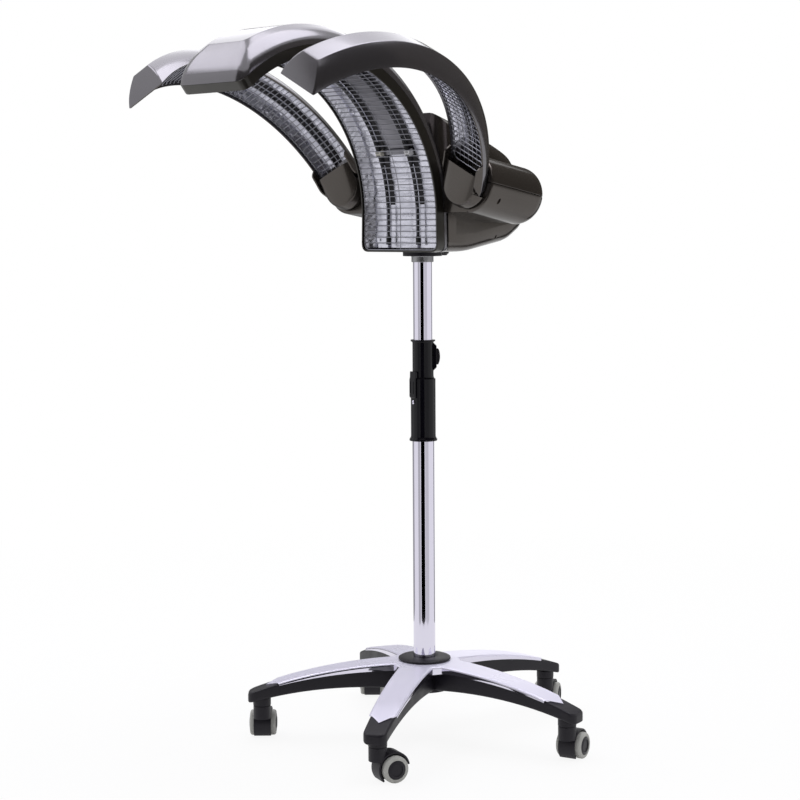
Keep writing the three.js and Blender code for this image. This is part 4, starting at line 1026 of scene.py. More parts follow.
    def disc(self) -> Workpiece:
        """Makes the disc at the pole's foot."""
        low, bore = self.hub_top + 2 * GAP + self.cover_wall, self.tube_radius + GAP
        rim, high = self.disc_radius, low + self.disc_height
        return Workpiece.turned(
            [(bore, low), (rim - 0.5, low), (rim, low + 1), (rim - 0.3, low + 3), (rim - 3, high - 1.4),
             (rim - 8.5, high - 0.4), (bore + 5.1, high), (bore + 3.1, high - 1), (bore, high - 1)], 80
        )

    def tube(self) -> Workpiece:
        """Makes the pole's outer tube with its eased top."""
        out, low, top = self.tube_radius, self.hub_bottom, self.tube_top
        inner = out - self.tube_wall
        return Workpiece.turned(
            [(inner, low), (out, low), (out, top - 0.6), (out - 0.6, top), (inner, top)], 80
        )

    def plug(self) -> Workpiece:
        """Makes the plug that bolts the pole into the star."""
        foot, rim, spigot = self.hub_bottom - GAP, self.plug_radius, self.plug_spigot
        head, top = foot - 6, foot + self.plug_length
        return Workpiece.turned(
            [(AXIS, head), (8, head), (8.6, foot - 4), (14, foot - 4), (14.6, head), (rim - 1.5, head),
             (rim, foot - 4.5), (rim, foot), (spigot, foot), (spigot, top), (AXIS, top)], 48
        )

    def build(self) -> None:
        """Builds and dresses the base."""
        self.star().finish("star", "stand", NYLON, "base_star")
        cover = self.cover()
        # Painted reflection: the cover's upward faces take the pale satin finish.
        cover.paint(CHROME_TOP_SHEEN, lambda p, n: n.z > 0.5)
        cover.finish("star_cover", "stand", CHROME, "base_cover")
        self.disc().finish("pole_foot_disc", "stand", NYLON, "hub_disc")
        self.tube().finish("pole_outer_tube", "stand", CHROME, "lower_tube")
        self.plug().finish("pole_bolt_plug", "stand", STEEL, "base_plug")


@dataclass
class Casters:
    """Five twin-wheel casters, each with a hood over two wheels."""

    turns: tuple[float, ...] = (102, 117, 132, 132, 69)
    leg_turn: float = LEG_TURN
    stem_reach: float = STEM_REACH
    radius: float = 25
    width: float = 15
    gap: float = 21
    trail: float = 26
    room: float = 27.5
    wall: float = 4
    hood_width: float = 34
    rear_angle: float = 10
    front_angle: float = 225
    neck_radius: float = 17.1
    neck_bottom: float = 40
    neck_top: float = 66.6
    stem_radius: float = 5.5
    stem_bottom: float = 55
    stem_top: float = 86.5
    axle_radius: float = 4
    tread_round: float = 4.5
    hub_radius: float = 17.4
    hub_depth: float = 2.5
    hub_dish: float = 5.5
    arc_steps: int = 28

    def arc(self, inner: float, outer: float, width: float) -> Workpiece:
        """Makes a curved wall over the wheels by spinning its section about the axle."""
        half = width / 2
        start = math.radians(self.rear_angle)
        corners = [(inner, -half), (outer, -half), (outer, half), (inner, half)]
        wall = Workpiece.traced([
            (self.trail + r * math.cos(start), y, self.radius + r * math.sin(start)) for r, y in corners
        ])
        with wall.editing(whole=True):
            bpy.ops.mesh.spin(
                steps=self.arc_steps, angle=math.radians(self.front_angle - self.rear_angle),
                center=(self.trail, 0, self.radius), axis=(0, 1, 0),
            )
        wall.tidy()
        return wall

    def hood(self) -> Workpiece:
        """Makes the hood with its web, neck, stem and axle."""
        room = self.room
        roof = self.arc(room, room + self.wall, self.hood_width)
        roof.soften(1.2, 2)
        neck = Workpiece.rod(self.neck_radius, (0, 0, self.neck_bottom), (0, 0, self.neck_top))
        neck.soften(1.2)
        x, z = self.trail, self.radius
        neck.join(Workpiece.rod(room, (x, -30, z), (x, 30, z), 64), Join.CUT)
        web = self.arc(self.axle_radius - 1, room + 1, self.gap - 2 * GAP)
        stem = Workpiece.rod(self.stem_radius, (0, 0, self.stem_bottom), (0, 0, self.stem_top), 24)
        half = self.gap / 2 + self.width - GAP
        axle = Workpiece.rod(self.axle_radius, (x, -half, z), (x, half, z), 24)
        return roof.join(neck).join(web).join(stem).join(axle)

    def tread(self) -> Workpiece:
        """Makes a tyre about Y with a recess for its hub on the outer side, +Y."""
        half = self.width / 2
        tyre = Workpiece.rod(self.radius, (0, -half, 0), (0, half, 0), 64)
        tyre.bevel(self.tread_round, 5, lambda p, n: abs(abs(p.y) - half) < 2 * NEAR)
        with tyre.editing():
            tyre.pick(Pick.FACES, lambda p, n: n.y > ALONG and p.y > half - 2 * NEAR)
            bpy.ops.mesh.inset(thickness=self.radius - self.tread_round - self.hub_radius - 0.3)
            draw((0, -self.hub_depth, 0))
        return tyre

    def hub(self) -> Workpiece:
        """Makes the dark disc that closes a wheel's outer side."""
        half = self.width / 2
        disc = Workpiece.rod(self.hub_radius, (0, half - self.hub_depth + 0.1, 0), (0, half - 0.2, 0), 64)
        disc.bevel(0.9, 3, lambda p, n: p.y > half - 0.3)
        with disc.editing():
            disc.pick(Pick.FACES, lambda p, n: n.y > ALONG)
            bpy.ops.mesh.inset(thickness=self.hub_dish, depth=0.15)
        return disc

    def build(self) -> None:
        """Builds the three pieces once and sets five copies under the legs."""
        hood, tread, hub = self.hood(), self.tread(), self.hub()
        offset = (self.gap + self.width) / 2
        for i, turn in enumerate(self.turns):
            caster = f"caster_{i + 1}"
            angle = math.radians(self.leg_turn + 360 * i / len(self.turns))
            x, y = self.stem_reach * math.cos(angle), self.stem_reach * math.sin(angle)
            here = Matrix.Translation((x, y, 0)) @ rotation(turn)
            hood.copy(here).finish(f"{caster}_fork", caster, NYLON, f"{caster}_hood")
            for side, sign in (("left", 1), ("right", -1)):
                body = f"wheel_{i + 1}_{side}"
                wheel = here @ Matrix.Translation((self.trail, sign * offset, self.radius))
                wheel = wheel @ rotation(0 if sign > 0 else 180)
                tread.copy(wheel).finish(f"{body}_tyre", body, TREAD, f"{caster}_wheel_{side}")
                hub.copy(wheel).finish(f"{body}_hub", body, NYLON)
        for piece in (hood, tread, hub):
            piece.scrap()


@dataclass
class HeightLock:
    """The black sleeve on the pole with its release button, latch and screw, and the inner tube."""

    tube_radius: float = 18.6
    tube_wall: float = 1.5
    tube_bottom: float = 400
    tube_top: float = 950.6
    bore: float = 21.8
    radius: float = 24.3
    bottom: float = 588
    top: float = 710
    collar_radius: float = 20.6
    collar_top: float = 785
    collar_foot: float = 690.4
    collar_spigot: float = 21.5
    boss_bottom: float = 724
    boss_height: float = 56
    boss_face: float = 26.5
    boss_width: float = 15
    button_face: float = 33.0
    button_height: float = 31
    button_width: float = 10
    button_azimuth: float = 42
    ribs: int = 5
    rib_pitch: float = 4
    latch_azimuth: float = -98
    latch_bottom: float = 672
    latch_height: float = 52
    latch_width: float = 17
    latch_thick: float = 3.5
    flute: float = 4.2
    screw_height: float = 664
    screw_radius: float = 3.6

    def slab(self, outline: Sequence[Flat], width: float, azimuth: float) -> Workpiece:
        """Makes a slab from a radius and height outline, facing an azimuth."""
        piece = Workpiece.prism([(r, -width / 2, z) for r, z in outline], (0, width, 0))
        return piece.place(rotation(azimuth))

    def body(self) -> Workpiece:
        """Makes the lower sleeve with its rolled bottom rim."""
        low, top, out = self.bottom, self.top, self.radius
        return Workpiece.turned(
            [(self.bore, low), (out + 2.4, low), (out + 3, low + 1), (out + 3, low + 3),
             (out + 1.6, low + 5), (out + 0.2, low + 8), (out, low + 12), (out, top - 1.5),
             (out - 0.8, top - 0.3), (out - 1.6, top), (self.bore, top)], 72
        )

    def collar(self) -> Workpiece:
        """Makes the upper sleeve with its rim, and the boss that the button sits in."""
        inner, out, top = self.tube_radius + 0.3, self.collar_radius, self.collar_top
        foot, spigot, seat = self.collar_foot, self.collar_spigot, self.top
        sleeve = Workpiece.turned(
            [(inner, foot), (spigot, foot), (spigot, seat), (out + 1.2, seat + 0.6), (out, seat + 4),
             (out, top - 6), (out + 1, top - 4), (out + 3, top - 3.4), (out + 3.4, top - 2.4),
             (out + 3.4, top - 0.8), (out + 2.8, top), (inner, top)], 72
        )
        low, high = self.boss_bottom, self.boss_bottom + self.boss_height
        boss = self.slab([(inner + 0.5, low), (self.boss_face, low + 7), (self.boss_face, high - 7),
                          (inner + 0.5, high)], self.boss_width, self.button_azimuth)
        boss.soften(1.2, 3)
        half = self.button_height / 2 + GAP
        low, high = (low + high) / 2 - half, (low + high) / 2 + half
        well = self.slab([(out + 0.3, low), (40, low), (40, high), (out + 0.3, high)],
                         self.button_width + 2 * GAP, self.button_azimuth)
        return sleeve.join(boss).join(well, Join.CUT)

    def button(self) -> Workpiece:
        """Makes the release button with its curved face and grip ribs."""
        middle = self.boss_bottom + self.boss_height / 2
        half, face, inner = self.button_height / 2, self.button_face, self.boss_face - 2.7
        thumb = (face, middle + 0.2 * half)
        crown = bezier((face - 3.4, middle - half), (face + 0.9, middle - 0.45 * half), thumb, 8)
        crown += bezier(thumb, (face - 0.6, middle + 0.85 * half), (face - 4, middle + half), 8)
        outline = [(inner, middle - half)] + crown + [(inner, middle + half)]
        key = self.slab(outline, self.button_width, self.button_azimuth)
        key.soften(0.8, 2, 50)
        for i in range(self.ribs):
            z = middle + self.rib_pitch * (i - self.ribs // 2)
            groove = Workpiece.block((face - 1.1, -3.4, z - 0.5), (face + 4, 3.4, z + 0.5))
            key.join(groove.place(rotation(self.button_azimuth)), Join.CUT)
        return key

    def latch(self) -> Workpiece:
        """Makes the latch lever that hooks over the sleeve's top."""
        inner, hook = self.radius + GAP, self.top + 2 * GAP
        outer = inner + self.latch_thick
        low, high = self.latch_bottom, self.latch_bottom + self.latch_height
        lever = self.slab([
            (inner, low), (outer - 1, low + 1), (outer, low + 4), (outer, hook - 3),
            (outer - 1.4, hook + 3), (outer - 1.7, high), (inner - 1.4, high),
            (inner - 3, high - 3.4), (inner - 3, hook), (inner, hook),
        ], self.latch_width, self.latch_azimuth)
        lever.soften(0.9, 2, 40)
        for side in (-self.flute, self.flute):
            flute = Workpiece.rod(1.6, (outer + 0.7, side, low + 9), (outer + 0.7, side, hook - 6), 16)
            lever.join(flute.place(rotation(self.latch_azimuth)), Join.CUT)
        return lever

    def screw(self) -> Workpiece:
        """Makes the domed chrome screw with its cross recess."""
        seat, r = self.radius + GAP, self.screw_radius
        head = Workpiece.turned(
            [(AXIS, seat - 2.6), (r / 2, seat - 2.6), (r / 2, seat), (r, seat), (r, seat + 1.1),
             (r * 0.8, seat + 1.9), (r * 0.4, seat + 2.4), (AXIS, seat + 2.5)], 32
        )
        for x, y in ((0.5, 2.2), (2.2, 0.5)):
            head.join(Workpiece.block((-x, -y, seat + 1.4), (x, y, seat + 4)), Join.CUT)
        facing = rotation(self.latch_azimuth) @ rotation(90, "Y")
        return head.place(Matrix.Translation((0, 0, self.screw_height)) @ facing)

    def tube(self) -> Workpiece:
        """Makes the pole's inner tube with its eased ends."""
        out, low, high = self.tube_radius, self.tube_bottom, self.tube_top
        inner = out - self.tube_wall
        return Workpiece.turned(
            [(inner, low), (out - 0.4, low), (out, low + 0.5), (out, high - 0.5), (out - 0.4, high),
             (inner, high)], 80
        )

    def build(self) -> None:
        """Builds and dresses the height lock."""
        self.body().finish("lock_sleeve", "stand", GLOSS, "sleeve_body")
        self.collar().finish("lock_collar", "stand", GLOSS, "sleeve_collar")
        self.button().finish("lock_button", "release", NYLON, "release_button")
        self.latch().finish("lock_latch", "latch", GLOSS, "latch_lever")
        self.screw().finish("lock_screw", "stand", CHROME, "sleeve_screw")
        self.tube().finish("pole_inner_tube", "mast", CHROME, "upper_tube")


@dataclass
class Pod:
    """The frame of the pods and of the side arms' pivots."""

    offset: float = 155
    front: float = -40
    height: float = 1083
    tilt: float = 9.15
    radius: float = 54.5
    length: float = 172
    round: float = 34
    nose: float = 5

    def frame(self, side: int = 0) -> Matrix:
        """Gives the frame of one pod, or of the line between them."""
        spot = Matrix.Translation((side * self.offset, self.front, self.height))
        return spot @ rotation(-self.tilt, "X")


@dataclass
class Casing:
    """The head casing in two halves, with the neck below it and the cord gland."""

    centre: ArmForm
    pod: Pod = field(default_factory=Pod)
    bottom: float = 955
    half_width: float = 100
    round: float = 36
    front: float = -50
    bridge_top: float = 24
    bridge_length: float = 130
    bridge_round: float = 7
    bridge_ease: float = 2
    seam: float = 0.5
    seam_ease: float = 0.8
    roll_steps: int = 7
    pivot_bore: float = 16.6
    pivot_depth: float = 48
    well: float = 3.4
    pod_screw: Flat = (45.7, 34)
    belly_screw: Flat = (93, 108)
    chamber: tuple[Point, Point] = ((-128, 50, -52), (128, 128, -30))
    neck_bottom: float = 935
    neck_bore: float = 19.5
    neck_radius: float = 21.5
    flange_radius: float = 38
    inlet_bottom: float = 947
    inlet_y: float = 60

    def outline(self) -> list[Flat]:
        """Gives the casing's middle in side view: belly, rear, slope and hump."""
        line = [(self.front, 0.0)]
        line += rounded([(0, 0, 0), (40, 0, 20), (158, 20, 14), (204, 46, 22), (212, 110, 0)], steps=6)[1:]
        line += rounded([(212, 110, 0), (204, 140, 9), (158, 189, 12), (134, 200, 0)], steps=4)[1:-1]
        line += bezier((158, 189), (100, 217), (-10, 249), 9)[2:]
        line.append((self.front, 261.0))
        return [(y, z + self.bottom) for y, z in line]

    def trunk(self) -> Workpiece:
        """Makes the middle of the casing with its sides rolled over."""
        flat = self.half_width - self.round
        body = Workpiece.prism([(-flat, y, z) for y, z in self.outline()], (2 * flat, 0, 0))
        with body.editing():
            body.pick(Pick.FACES, lambda p, n: abs(n.x) > ALONG)
            for i in range(self.roll_steps):
                before, after = [math.pi / 2 * k / self.roll_steps for k in (i, i + 1)]
                bpy.ops.mesh.inset(
                    thickness=self.round * (math.cos(before) - math.cos(after)),
                    depth=self.round * (math.sin(after) - math.sin(before)),
                )
        return body

    def one_pod(self) -> Workpiece:
        """Makes one pod about Y, with a soft rear and a crisp nose."""
        pod = self.pod
        body = Workpiece.rod(pod.radius, (0, 0, 0), (0, pod.length, 0), 96)
        body.bevel(pod.round, 12, lambda p, n: p.y > pod.length - 2 * NEAR)
        body.bevel(pod.nose, 3, lambda p, n: p.y < 2 * NEAR)
        return body

    def whole(self) -> Workpiece:
        """Joins trunk, pods and bridge, and fits them behind the centre arm."""
        pod = self.pod
        body = self.trunk()
        for side in (-1, 1):
            body.join(self.one_pod().place(pod.frame(side)))
        bridge = Workpiece.block((-pod.offset, 0.3, 0.1 - pod.radius),
                                 (pod.offset, self.bridge_length, self.bridge_top))
        bridge.bevel(self.bridge_round, 4, lambda p, n: abs(n.x) > ALONG and p.y > 1)
        bridge.bevel(self.bridge_ease, 2, lambda p, n: abs(n.x) > ALONG and p.y < 1)
        body.join(bridge.place(pod.frame()))
        body.join(self.centre.throat(0.8, -60, self.centre.path.length + 40, 60), Join.CUT)
        for side in (-1, 1):
            pivot = Workpiece.rod(self.pivot_bore, (0, -2, 0), (0, self.pivot_depth, 0))
            body.join(pivot.place(pod.frame(side)), Join.CUT)
            x, y = side * self.pod_screw[0], self.pod_screw[1]
            well = Workpiece.rod(self.well, (x, y, -70), (x, y, -20), 24)
            body.join(well.place(pod.frame(side)), Join.CUT)
            x, y = side * self.belly_screw[0], self.belly_screw[1]
            low, high = self.bottom - 15, self.bottom + 35
            body.join(Workpiece.rod(self.well - 0.5, (x, y, low), (x, y, high), 24), Join.CUT)
        return body.join(Workpiece.block(*self.chamber).place(pod.frame()), Join.CUT)

    def half(self, body: Workpiece, upper: bool) -> Workpiece:
        """Cuts one half off at the seam and eases its edge.

        Args:
            body: The whole casing, which is kept.
            upper: Whether the upper half is wanted.

        Returns:
            The half.
        """
        sign = 1 if upper else -1
        frame_of_seam = self.pod.frame()
        normal = (frame_of_seam.to_3x3() @ Vector((0, 0, 1))).normalized()
        spot = frame_of_seam.translation + normal * (sign * self.seam)
        piece = body.copy()
        with piece.editing(whole=True):
            bpy.ops.mesh.bisect(plane_co=spot, plane_no=normal, use_fill=True, clear_inner=upper,
                                clear_outer=not upper)
        piece.bevel(
            self.seam_ease, 1,
            lambda p, n: abs((p - spot).dot(normal)) < 0.01 and abs(n.dot(normal)) < 0.01,
        )
        return piece

    def neck(self) -> Workpiece:
        """Makes the steel neck with its black flange."""
        low, top = self.neck_bottom, self.bottom - GAP
        bore, out, rim = self.neck_bore, self.neck_radius, self.flange_radius
        piece = Workpiece.turned(
            [(bore, low), (out - 0.8, low), (out, low + 1), (out, top - 9.5), (out + 1.1, top - 8),
             (rim - 1, top - 8), (rim, top - 7), (rim, top - 0.6), (rim - 0.6, top), (bore, top)], 72
        )
        piece.paint(STEEL, lambda p, n: p.xy.length < out + 2.5)
        return piece

    def inlet(self) -> Workpiece:
        """Makes the inlet of the mains lead."""
        low, seat = self.inlet_bottom, self.bottom - GAP + 8
        piece = Workpiece.turned(
            [(4, low), (6.6, low), (8.6, low + 1.4), (9.4, low + 3), (11.6, low + 4), (11.6, seat),
             (8.6, seat), (8.6, low + 20), (4, low + 20)], 32
        )
        return piece.place(Matrix.Translation((0, self.inlet_y, 0)))

    def build(self) -> None:
        """Builds and dresses the casing."""
        body = self.whole()
        # Painted shade: both casing halves take the darker copy of the lacquer.
        self.half(body, True).finish("casing_upper_half", "head", TAUPE_SHADED, "upper_casing")
        self.half(body, False).finish("casing_lower_half", "head", TAUPE_SHADED, "lower_casing")
        body.scrap()
        self.neck().finish("neck_plate", "head", NYLON, "neck_flange")
        self.inlet().finish("cord_inlet", "head", NYLON, "cord_gland")


@dataclass
class Controls:
    """The control panel on the rear slope, with its timer knob and power switch."""

    spot: Point = (0.0, 181.0, 1119.5)
    tilt: float = 46.8
    width: float = 92
    height: float = 44
    thick: float = 3
    knob_x: float = -24
    knob_radius: float = 14
    knob_height: float = 13
    switch_x: float = 26
    switch_width: float = 14
    switch_height: float = 20
    corner: float = 6
    shaft_hole: float = 3.4
    marks: int = 11
    mark_start: float = 150
    mark_step: float = 30
    flutes: int = 18

    @property
    def frame(self) -> Matrix:
        """The panel's own frame."""
        return Matrix.Translation(self.spot) @ rotation(-self.tilt, "X")

    def panel(self) -> Workpiece:
        """Makes the plate with round corners, its two openings and a ring of dial marks."""
        low, high = GAP, GAP + self.thick
        w, h = self.width / 2, self.height / 2
        plate = Workpiece.block((-w, -h, low), (w, h, high))
        plate.bevel(self.corner, 5, lambda p, n: abs(n.z) > ALONG)
        plate.soften(0.8, 2)
        shaft = Workpiece.rod(self.shaft_hole, (self.knob_x, 0, -4), (self.knob_x, 0, 9), 24)
        plate.join(shaft, Join.CUT)
        a, b = self.switch_width / 2 + 0.8, self.switch_height / 2 + 0.8
        plate.join(Workpiece.block((self.switch_x - a, -b, -4), (self.switch_x + a, b, 9)), Join.CUT)
        ring = self.knob_radius + 2
        mark = Workpiece.block((-0.4, ring, high - 0.2), (0.4, ring + 3, high + 0.3))
        mark.soften(0.15, 1)
        centre = Matrix.Translation((self.knob_x, 0, 0))
        turns = [self.mark_start - self.mark_step * i for i in range(self.marks)]
        marks = [mark.copy(centre @ rotation(turn)) for turn in turns]
        mark.scrap()
        for piece in marks:
            piece.paint(CERAMIC)
        plate.obj.data.materials.append(NYLON.material())
        return plate.gather(*marks)

    def knob(self) -> Workpiece:
        """Makes the fluted timer knob with its pointer line."""
        low = 2 * GAP + self.thick
        high, r = low + self.knob_height, self.knob_radius
        knob = Workpiece.turned(
            [(AXIS, low - 12), (3, low - 12), (3, low), (r - 0.4, low), (r, low + 0.5),
             (r - 0.2, low + 2.5), (r - 1.6, low + 3.4), (r - 2.2, high - 1.2), (r - 3.2, high),
             (AXIS, high)], 64
        )
        for i in range(self.flutes):
            angle = math.tau * (i + 0.5) / self.flutes
            x, y = (r - 0.9) * math.cos(angle), (r - 0.9) * math.sin(angle)
            knob.join(Workpiece.rod(1.3, (x, y, low + 3.6), (x, y, high + 1), 10), Join.CUT)
        pointer = Workpiece.block((-0.7, 3, high - 0.4), (0.7, r - 3.6, high + 0.25))
        pointer.soften(0.2, 1)
        pointer.paint(CERAMIC)
        knob.obj.data.materials.append(GLOSS.material())
        return knob.gather(pointer).place(Matrix.Translation((self.knob_x, 0, 0)))

    def rocker(self) -> Workpiece:
        """Makes the rocker with its hollow face and its two plain marks."""
        top = GAP + self.thick + 3
        w, h = self.switch_width / 2, self.switch_height / 2
        face = bezier((h, top), (0, top - 2), (-h, top), 10)
        outline = [(-h, top - 9), (h, top - 9)] + face
        rocker = Workpiece.prism([(-w, y, z) for y, z in outline], (2 * w, 0, 0))
        rocker.soften(0.6, 2, 50)
        dash = Workpiece.block((-0.4, 3.2, top - 1.1), (0.4, 6.4, top - 0.25))
        ring = Workpiece.wire([(x, y - 5, top - 0.6) for x, y in circle(1.6, 1.6, 20)], 0.3, Line.RING)
        for piece in (dash, ring):
            piece.paint(CERAMIC)
        rocker.obj.data.materials.append(GLOSS.material())
        return rocker.gather(dash, ring).place(Matrix.Translation((self.switch_x, 0, 0)))

    def build(self) -> None:
        """Builds and dresses the controls."""
        self.panel().place(self.frame).finish("panel_plate", "head", NYLON, "control_panel")
        self.knob().place(self.frame).finish("panel_timer", "timer", GLOSS, "timer_knob")
        self.rocker().place(self.frame).finish("panel_switch", "switch", GLOSS, "power_switch")


@dataclass
class CentreArm:
    """The wide arm over the crown: shell, lower frame, guard, reflector and four lamps."""

    form: ArmForm
    lamp_x: float = 38.5
    split: float = 185
    joint: float = 12
    frame_depth: float = 19.6
    corner: float = 17
    tip_corner: float = 20
    lamp_start: float = 14
    tip_room: float = 14
    foil_edge: float = 8
    # Where the slots behind the lamps start to be painted dark as shade.
    shaded_slots_from: float = 92
    # How far before the lamp joints the foil starts to be painted darker as shade.
    shaded_lap: float = 8
    joint_half: float = 7
    strip_half: float = 5
    tie: Flat = (6.4, 5.2)
    tie_wire: float = 0.9
    tie_offset: float = 3

    def lower_frame(self) -> Workpiece:
        """Forms the dark frame round the guard, with round corners at its foot."""
        form, end = self.form, self.form.path.length
        half, wall = form.half_width, form.wall
        rings = []
        for inset in (0, wall):
            w, c, t = half - inset, self.corner - inset, self.tip_corner - inset
            far = end - inset
            rings.append(rounded([(w, inset, c), (w, far, t), (-w, far, t), (-w, inset, c)], True))
        block = Workpiece.prism([(x, y, 0) for x, y in rings[0]], (0, 0, self.frame_depth))
        block.join(Workpiece.prism([(x, y, -30) for x, y in rings[1]], (0, 0, 80)), Join.CUT)
        block.soften(0.8, 2, 50)
        form.path.slice(block, 0, end)
        return form.path.wrap(block)

    def joints(self) -> Workpiece:
        """Forms the ceramic joints between the lower and the upper lamps, with their wire ties."""
        form = self.form
        z = form.lamp_depth
        parts = []
        for side in (-1, 1):
            across, half = side * self.lamp_x, self.joint_half
            start, end = self.split - self.joint / 2 + GAP, self.split + self.joint / 2 - GAP
            block = Workpiece.block((across - half, start, z - 5), (across + half, end, z + 7))
            block.soften(1.6, 3)
            parts.append(block)
            for d in (self.split - self.tie_offset, self.split + self.tie_offset):
                tie = [(across + x, d, z - 0.6 + y) for x, y in circle(*self.tie, 16)]
                loop = Workpiece.wire(tie, self.tie_wire, Line.RING)
                loop.paint(STEEL)
                parts.append(loop)
        parts[0].obj.data.materials.append(CERAMIC.material())
        near, far = self.split - self.strip_half, self.split + self.strip_half
        strip = Workpiece.block((-self.lamp_x, near, z + 5), (self.lamp_x, far, z + 7))
        strip.soften(0.5, 1)
        # The strip across the joints is painted in the darker foil, as painted shade.
        strip.paint(FOIL_SHADED)
        return form.path.wrap(parts[0].gather(strip, *parts[1:]))

    def build(self) -> None:
        """Builds and dresses the centre arm."""
        form = self.form
        end = form.path.length
        form.shell(True).finish("centre_shell", "head", TAUPE, "centre_arm_shell", angle=28)
        self.lower_frame().finish("centre_frame", "head", TAUPE_DARK, "centre_arm_frame")
        inside = form.half_width - form.wall - GAP
        net = form.net(inside, form.wall + GAP, end - form.wall - GAP, (0.0,))
        net.finish("centre_guard", "head", WIRE, "centre_grille")
        last = end - self.tip_room - form.path.radius * math.radians(form.slant)
        trough = form.trough(self.foil_edge, last + self.foil_edge, (-self.lamp_x, self.lamp_x),
                             self.shaded_slots_from, self.split - self.shaded_lap)
        trough.finish("centre_foil", "head", FOIL, "centre_reflector", angle=14)
        self.joints().finish("centre_lamp_joints", "head", CERAMIC, "lamp_joint")
        half = self.joint / 2
        for side, sign in (("left", -1), ("right", 1)):
            rows = (("lower", self.lamp_start, self.split - half), ("upper", self.split + half, last))
            for row, start, stop in rows:
                tube, caps = form.lamp(sign * self.lamp_x, start, stop)
                tube.finish(f"{row}_{side}_quartz", "head", QUARTZ, f"{row}_lamp_{side}")
                caps.finish(f"{row}_{side}_lamp_caps", "head", CARBON)


